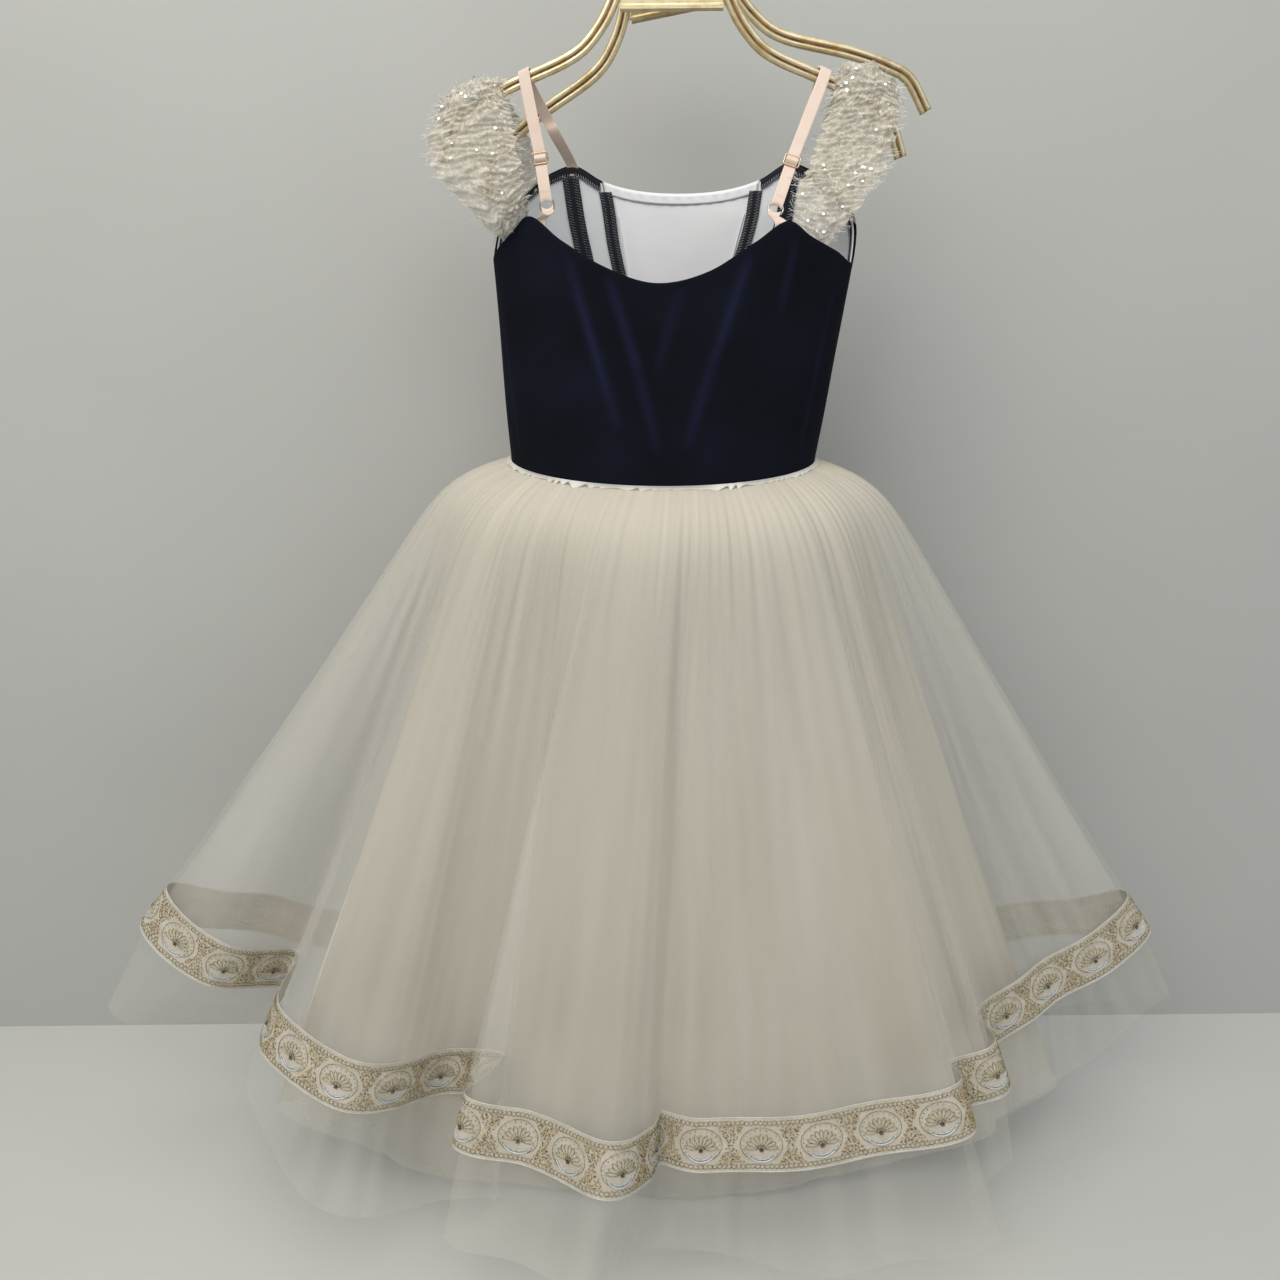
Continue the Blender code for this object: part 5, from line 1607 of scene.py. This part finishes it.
def groove_paint():
    """Dark red-brown lacquer left in the groove, worn unevenly."""
    made, tree, shader = material("red_brown_groove_lacquer")
    place = add(tree, "TexCoord")
    wear = add(tree, "TexNoise", {"Vector": (place, "Object"), "Scale": 90.0, "Detail": 4.0})
    tint = add(tree, "ValToRGB", {"Fac": (wear, "Fac")}, [(0.35, "#5a3a1c"), (0.62, "#8a6a3a")])
    plug(tree, tint, "Color", shader, "Base Color")
    shader.inputs["Metallic"].default_value = 0.3
    shader.inputs["Roughness"].default_value = 0.55
    return made


GOLD_METAL = brushed_metal("brushed_pale_gold_plate", "#cdb685", "#eddfbb", 0.4, 0.25)
GROOVE = groove_paint()
FINDING_METAL = brushed_metal("rose_gold_findings", "#a98c6c", "#d9bea0", 0.25, 0.1)
RING_METAL = brushed_metal("smoky_clear_ring", "#8b8983", "#c9c7c0", 0.18, 0.05)

# %% Ribbed strips


def hung(points, stand):
    """Points in a hanger's own plane, rolled about its hook's crest and moved to where it stands."""
    stand_x, stand_y, roll = stand
    x, z = turned(points[:, 0], points[:, 1], roll)
    return np.stack([x + stand_x, np.full_like(x, stand_y), z], axis=1)


def arm_line(count):
    """The strip's centre line from the left tip over the crown to the right tip."""
    half = np.array([(x, z) for _, x, z in ARM])
    return evenly(np.vstack([half[:0:-1] * (-1, 1), half]), count)


# One rib: height above the strip's middle, and depth as a share of half the strip's.
RIB = [(0.0014, 1.0), (0.0022, 1.0), (0.0034, 0.97), (0.0043, 0.84), (0.0048, 0.58), (STRIP_TALL / 2, 0.25)]
GROOVE_HALF = 0.0009
GROOVE_DEEP = 0.0011


def ribbed_profile():
    """Height and depth round the strip: two ribs on the front and on the back, with a square groove
    between."""
    deep = STRIP_DEEP / 2
    quarter = [(GROOVE_HALF, deep - GROOVE_DEEP)] + [(tall, share * deep) for tall, share in RIB]
    half = quarter + [(tall, -depth) for tall, depth in quarter[::-1]]
    return np.array(half + [(-tall, -depth) for tall, depth in half])


profile = ribbed_profile()
sides = len(profile)
floors = [sides // 2 - 1, sides - 1]
STRIP_STATIONS = 260
for tag, *stand in HANGERS:
    path = hung(arm_line(STRIP_STATIONS), stand)
    along = unit(np.gradient(path, axis=0))
    depthwise = np.broadcast_to([0.0, 1.0, 0.0], along.shape)
    tallwise = unit(np.cross(depthwise, along))
    tallwise = tallwise * np.sign((tallwise[:, 2]).mean())
    tall_part = tallwise[:, None] * profile[:, 0, None]
    rings = path[:, None] + tall_part + depthwise[:, None] * profile[:, 1, None]
    quads = grid_quads(STRIP_STATIONS, sides, True)
    middles = path[[0, -1]]
    points = np.vstack([rings.reshape(-1, 3), middles])
    count = STRIP_STATIONS * sides
    ring = np.arange(sides)
    start = np.stack([np.full(sides, count), (ring + 1) % sides, ring], axis=1)
    final = count - sides
    end = np.stack([np.full(sides, count + 1), final + ring, final + (ring + 1) % sides], axis=1)
    triangles = np.vstack([quads[:, [0, 1, 2]], quads[:, [0, 2, 3]], start, end])
    strip = new_mesh("ribbed_" + tag, points, triangles, [GOLD_METAL, GROOVE])
    grooved = np.tile(np.isin(ring, floors), STRIP_STATIONS - 1)
    which = np.concatenate([grooved, grooved, np.zeros(2 * sides, bool)])
    strip.data.polygons.foreach_set("material_index", which.astype(np.int32))
    mend = strip.modifiers.new("round", "WEIGHTED_NORMAL")
    mend.keep_sharp = True
    settle(strip, "gold", tag + "_arch")
    for part in ("_plate", "_hook"):
        node = nodes[tag + part]
        node.data.materials.clear()
        node.data.materials.append(GOLD_METAL)
print("hangers made")

# %% [markdown]
# ## Straps, rings and sliders
# Each strap is a flat satin elastic. It comes up from a ring, is woven through a slider, hangs over the
# arch and goes down to the front corner. The route repeats the CAD's places, on a smooth curve.

# %% Strap places
STRAP_WIDE = 0.009
STRAP_WALL = 0.0009
STRAP_OVER_ARM = [(0.0027, -0.0040), (-0.0005, 0.0013)]
STRAP_END_ABOVE = 0.001
STRAP_END_BELOW = 0.008
STRAP_EASE = 0.0006
LEAN_SHARES = (0.45, 0.62)
RING_RADIUS = 0.0057
RING_WIRE = 0.0013
FOLD_SIDE = 0.0016
FOLD_END = 0.0026
FOLD_ROUND = 0.7
FOLD_TAIL = 0.007
TAB_FOLD_TAIL = 0.002
SLIDER_STEP = 0.004
SLIDER_WIRE = 0.0012
SLIDER_WEAVE = 0.0018
SLIDER_WIDE = 0.0132
SLIDER_CORNER = 0.0012
TAB_REACH = 0.006
TAB_EASE = 0.0005
SHOULDER_X = 0.05
ARM_FINE_POINTS = 241
STRAPS = {
    "left": {
        "arm x": -0.1133,
        "slider": (-0.1030, -0.0120, -0.2038),
        "ring": (-0.0985, -0.0150, -0.2385),
        "back bearing": 229,
        "front bearing": 127,
        "front corner lean": True,
    },
    "right": {
        "arm x": 0.1170,
        "slider": (0.0915, -0.0300, -0.2078),
        "ring": (0.0785, -0.0430, -0.2425),
        "back bearing": 308,
        "front bearing": 52,
        "front corner lean": False,
    },
}


def arm_height(x):
    """Height and slope of the front arch's centre line at a distance from its middle."""
    line = arm_line(ARM_FINE_POINTS)
    slope = np.gradient(line[:, 1], line[:, 0])
    side = line[:, 0] * np.sign(x) > SHOULDER_X
    order = np.argsort(line[side, 0])
    places = line[side][order]
    return np.interp(x, places[:, 0], places[:, 1]), np.interp(x, places[:, 0], slope[side][order])


def fold_round_ring(ring, along, front, tail):
    """Centre line of a fold that comes down in front of the ring's wire and goes up again behind it."""
    wire = ring - along * RING_RADIUS
    places = [
        (-tail, FOLD_SIDE),
        (-tail / 2, FOLD_SIDE),
        (0.0, FOLD_SIDE),
        (FOLD_END * FOLD_ROUND, FOLD_SIDE * FOLD_ROUND),
        (FOLD_END, 0.0),
        (FOLD_END * FOLD_ROUND, -FOLD_SIDE * FOLD_ROUND),
        (0.0, -FOLD_SIDE),
        (-tail / 2, -FOLD_SIDE),
        (-tail, -FOLD_SIDE),
    ]
    return [wire + along * down + front * out for down, out in places]


ELASTIC_COLUMNS = 13
ELASTIC_STEPS = 10


def elastic(name, line, across, shares, slot, node):
    """A flat elastic through a centre line: each row lies across it, and bends with the ring where it is
    folded."""
    line = spline(np.asarray(line, float), ELASTIC_STEPS)
    across = unit(spline(np.asarray(across, float), ELASTIC_STEPS))
    shares = spline(np.asarray(shares, float), ELASTIC_STEPS)
    places = np.linspace(-STRAP_WIDE / 2, STRAP_WIDE / 2, ELASTIC_COLUMNS)
    lower = RING_RADIUS - np.sqrt(RING_RADIUS**2 - places**2)
    points = line[:, None] + across[:, None] * places[None, :, None]
    points = points + shares[:, None, 1:] * (lower[None, :] * shares[:, :1])[..., None]
    piece = sheet_object(name, points, ELASTIC_CLOTH, "cloth", places, run_along(line))
    solid = piece.modifiers.new("wall", "SOLIDIFY")
    solid.thickness = STRAP_WALL
    solid.offset = 0.0
    settle(piece, slot, node)
    return run_along(line)[-1]


def wire_ring(name, centre, level, front):
    """A torus: a wire's circle carried round the ring's circle."""
    around = np.arange(48) * math.tau / 48
    wire = np.arange(12) * math.tau / 12
    up = np.cross(front, level)
    radial = level * np.cos(around)[:, None] + up * np.sin(around)[:, None]
    points = centre + radial[:, None] * (RING_RADIUS + RING_WIRE / 2 * np.cos(wire))[None, :, None]
    points = points + front * (RING_WIRE / 2 * np.sin(wire))[None, :, None]
    quads = grid_quads(49, 12, True) % (48 * 12)
    piece = new_mesh("fine_" + name, points.reshape(-1, 3), quads[:, ::-1], [RING_METAL])
    settle(piece, "gold", name)


def wire_slider(name, centre, level, along):
    """Three round bars between two round rails: a frame line and a middle bar, each carried by a small
    circle."""
    rail = SLIDER_WIDE / 2 - SLIDER_WIRE / 2
    corner = SLIDER_CORNER
    turn = np.radians(np.arange(0, 91, 15))
    path = []
    for sx, sy, start in ((1, 1, 0), (-1, 1, 90), (-1, -1, 180), (1, -1, 270)):
        angle = turn + math.radians(start)
        x = sx * (rail - corner) + corner * np.cos(angle)
        y = sy * (SLIDER_STEP - corner) + corner * np.sin(angle)
        path.append(np.stack([x, y], axis=1))
    path = np.vstack(path)
    line = centre + path[:, :1] * level + path[:, 1:] * along
    normal = np.cross(level, along)
    closed_line = np.vstack([line[-1:], line, line[:1]])
    rings = tube(closed_line, np.broadcast_to(normal, closed_line.shape), SLIDER_WIRE / 2, 8)[1:-1]
    quads = grid_quads(len(line) + 1, 8, True) % (len(line) * 8)
    bar_line = centre + np.linspace(-rail, rail, 5)[:, None] * level
    bar = tube(bar_line, np.broadcast_to(normal, bar_line.shape), SLIDER_WIRE / 2 * 0.9, 8)
    caps = np.array([(0, 1, 2, 3), (0, 3, 4, 7), (7, 4, 5, 6)])
    bar_quads = np.vstack([grid_quads(5, 8, True), caps[:, ::-1], caps + 4 * 8]) + rings.shape[0] * 8
    points = np.vstack([rings.reshape(-1, 3), bar.reshape(-1, 3)])
    piece = new_mesh("fine_" + name, points, np.vstack([quads, bar_quads])[:, ::-1], [FINDING_METAL])
    settle(piece, "gold", name)


# %% Straps
for side, strap in STRAPS.items():
    ring = np.array(strap["ring"])
    slider = np.array(strap["slider"])
    x = strap["arm x"]
    centre_z, slope = arm_height(x)
    top = centre_z + STRIP_TALL / 2
    arm_across = np.array([1.0, 0.0, slope]) / math.hypot(1.0, slope)
    along = unit(ring - slider)
    level = np.array([1.0, 0.0, 0.0])
    level = unit(level - along * level.dot(along))
    front = np.cross(level, along)
    front *= -np.sign(front[1])
    fold = fold_round_ring(ring, along, front, FOLD_TAIL)
    weave = zip([-2, -1, 0, 1, 2], [0.0, -SLIDER_WEAVE, SLIDER_WEAVE, -SLIDER_WEAVE, 0.0])
    woven = [slider + along * (SLIDER_STEP * step) + front * lift for step, lift in weave]
    near = [np.array([x, -STRIP_DEEP / 2 - out, top + rise]) for out, rise in STRAP_OVER_ARM]
    over = near + [place * (1, -1, 1) for place in near[::-1]]
    bearing = strap["front bearing"]
    corner = top_height(bearing)
    inset = VELVET + LINING + 2 * GAP + STRAP_WALL / 2 + STRAP_EASE
    end_high = bodice_at(bearing, corner + STRAP_END_ABOVE, inset)
    end_low = bodice_at(bearing, corner - STRAP_END_BELOW, inset)
    down = []
    if strap["front corner lean"]:
        for share in LEAN_SHARES:
            spot = over[-1] + (end_high - over[-1]) * share
            spot[1] = REAR_Y - STRIP_DEEP / 2 - STRAP_WALL / 2 - GAP
            down.append(spot)
    line = fold[::-1] + woven[::-1] + over + down + [end_high, end_low]
    tangent = bodice_at(bearing + 1, corner, inset) - bodice_at(bearing - 1, corner, inset)
    tangent *= np.sign(tangent[0]) / np.linalg.norm(tangent)
    across = [level] * (len(fold) + len(woven)) + [arm_across] * len(over)
    across += [unit(arm_across + tangent)] * len(down) + [tangent] * 2
    shares = np.zeros((len(line), 4))
    shares[:, 1:] = along
    shares[:7, 0] = [0, 0.5, 1, 1, 1, 1, 1]
    strap_length = elastic("fine_strap_" + side, line, across, shares, "elastic", "strap_" + side)
    tab_bearing = strap["back bearing"]
    tab_inset = VELVET + GAP + STRAP_WALL / 2 + TAB_EASE
    edge = top_height(tab_bearing)
    low = bodice_at(tab_bearing, edge - TAB_REACH, tab_inset)
    high = bodice_at(tab_bearing, edge + STRAP_END_ABOVE, tab_inset)
    tab = [low, high] + fold_round_ring(ring, -along, front, TAB_FOLD_TAIL)[:-2]
    edge_line = bodice_at(tab_bearing + 1, edge, tab_inset) - bodice_at(tab_bearing - 1, edge, tab_inset)
    edge_line *= np.sign(edge_line[0]) / np.linalg.norm(edge_line)
    shares = np.zeros((len(tab), 4))
    shares[:, 1:] = -along
    shares[2:, 0] = 1
    across = [edge_line] * 2 + [level] * (len(tab) - 2)
    tab_length = elastic("fine_tab_" + side, tab, across, shares, "elastic", "tab_" + side)
    print(side, "strap", round(strap_length, 3), "m, tab", round(tab_length, 3), "m")
    wire_ring("ring_" + side, ring, level, front)
    wire_slider("slider_" + side, slider, level, along)
print("straps made")
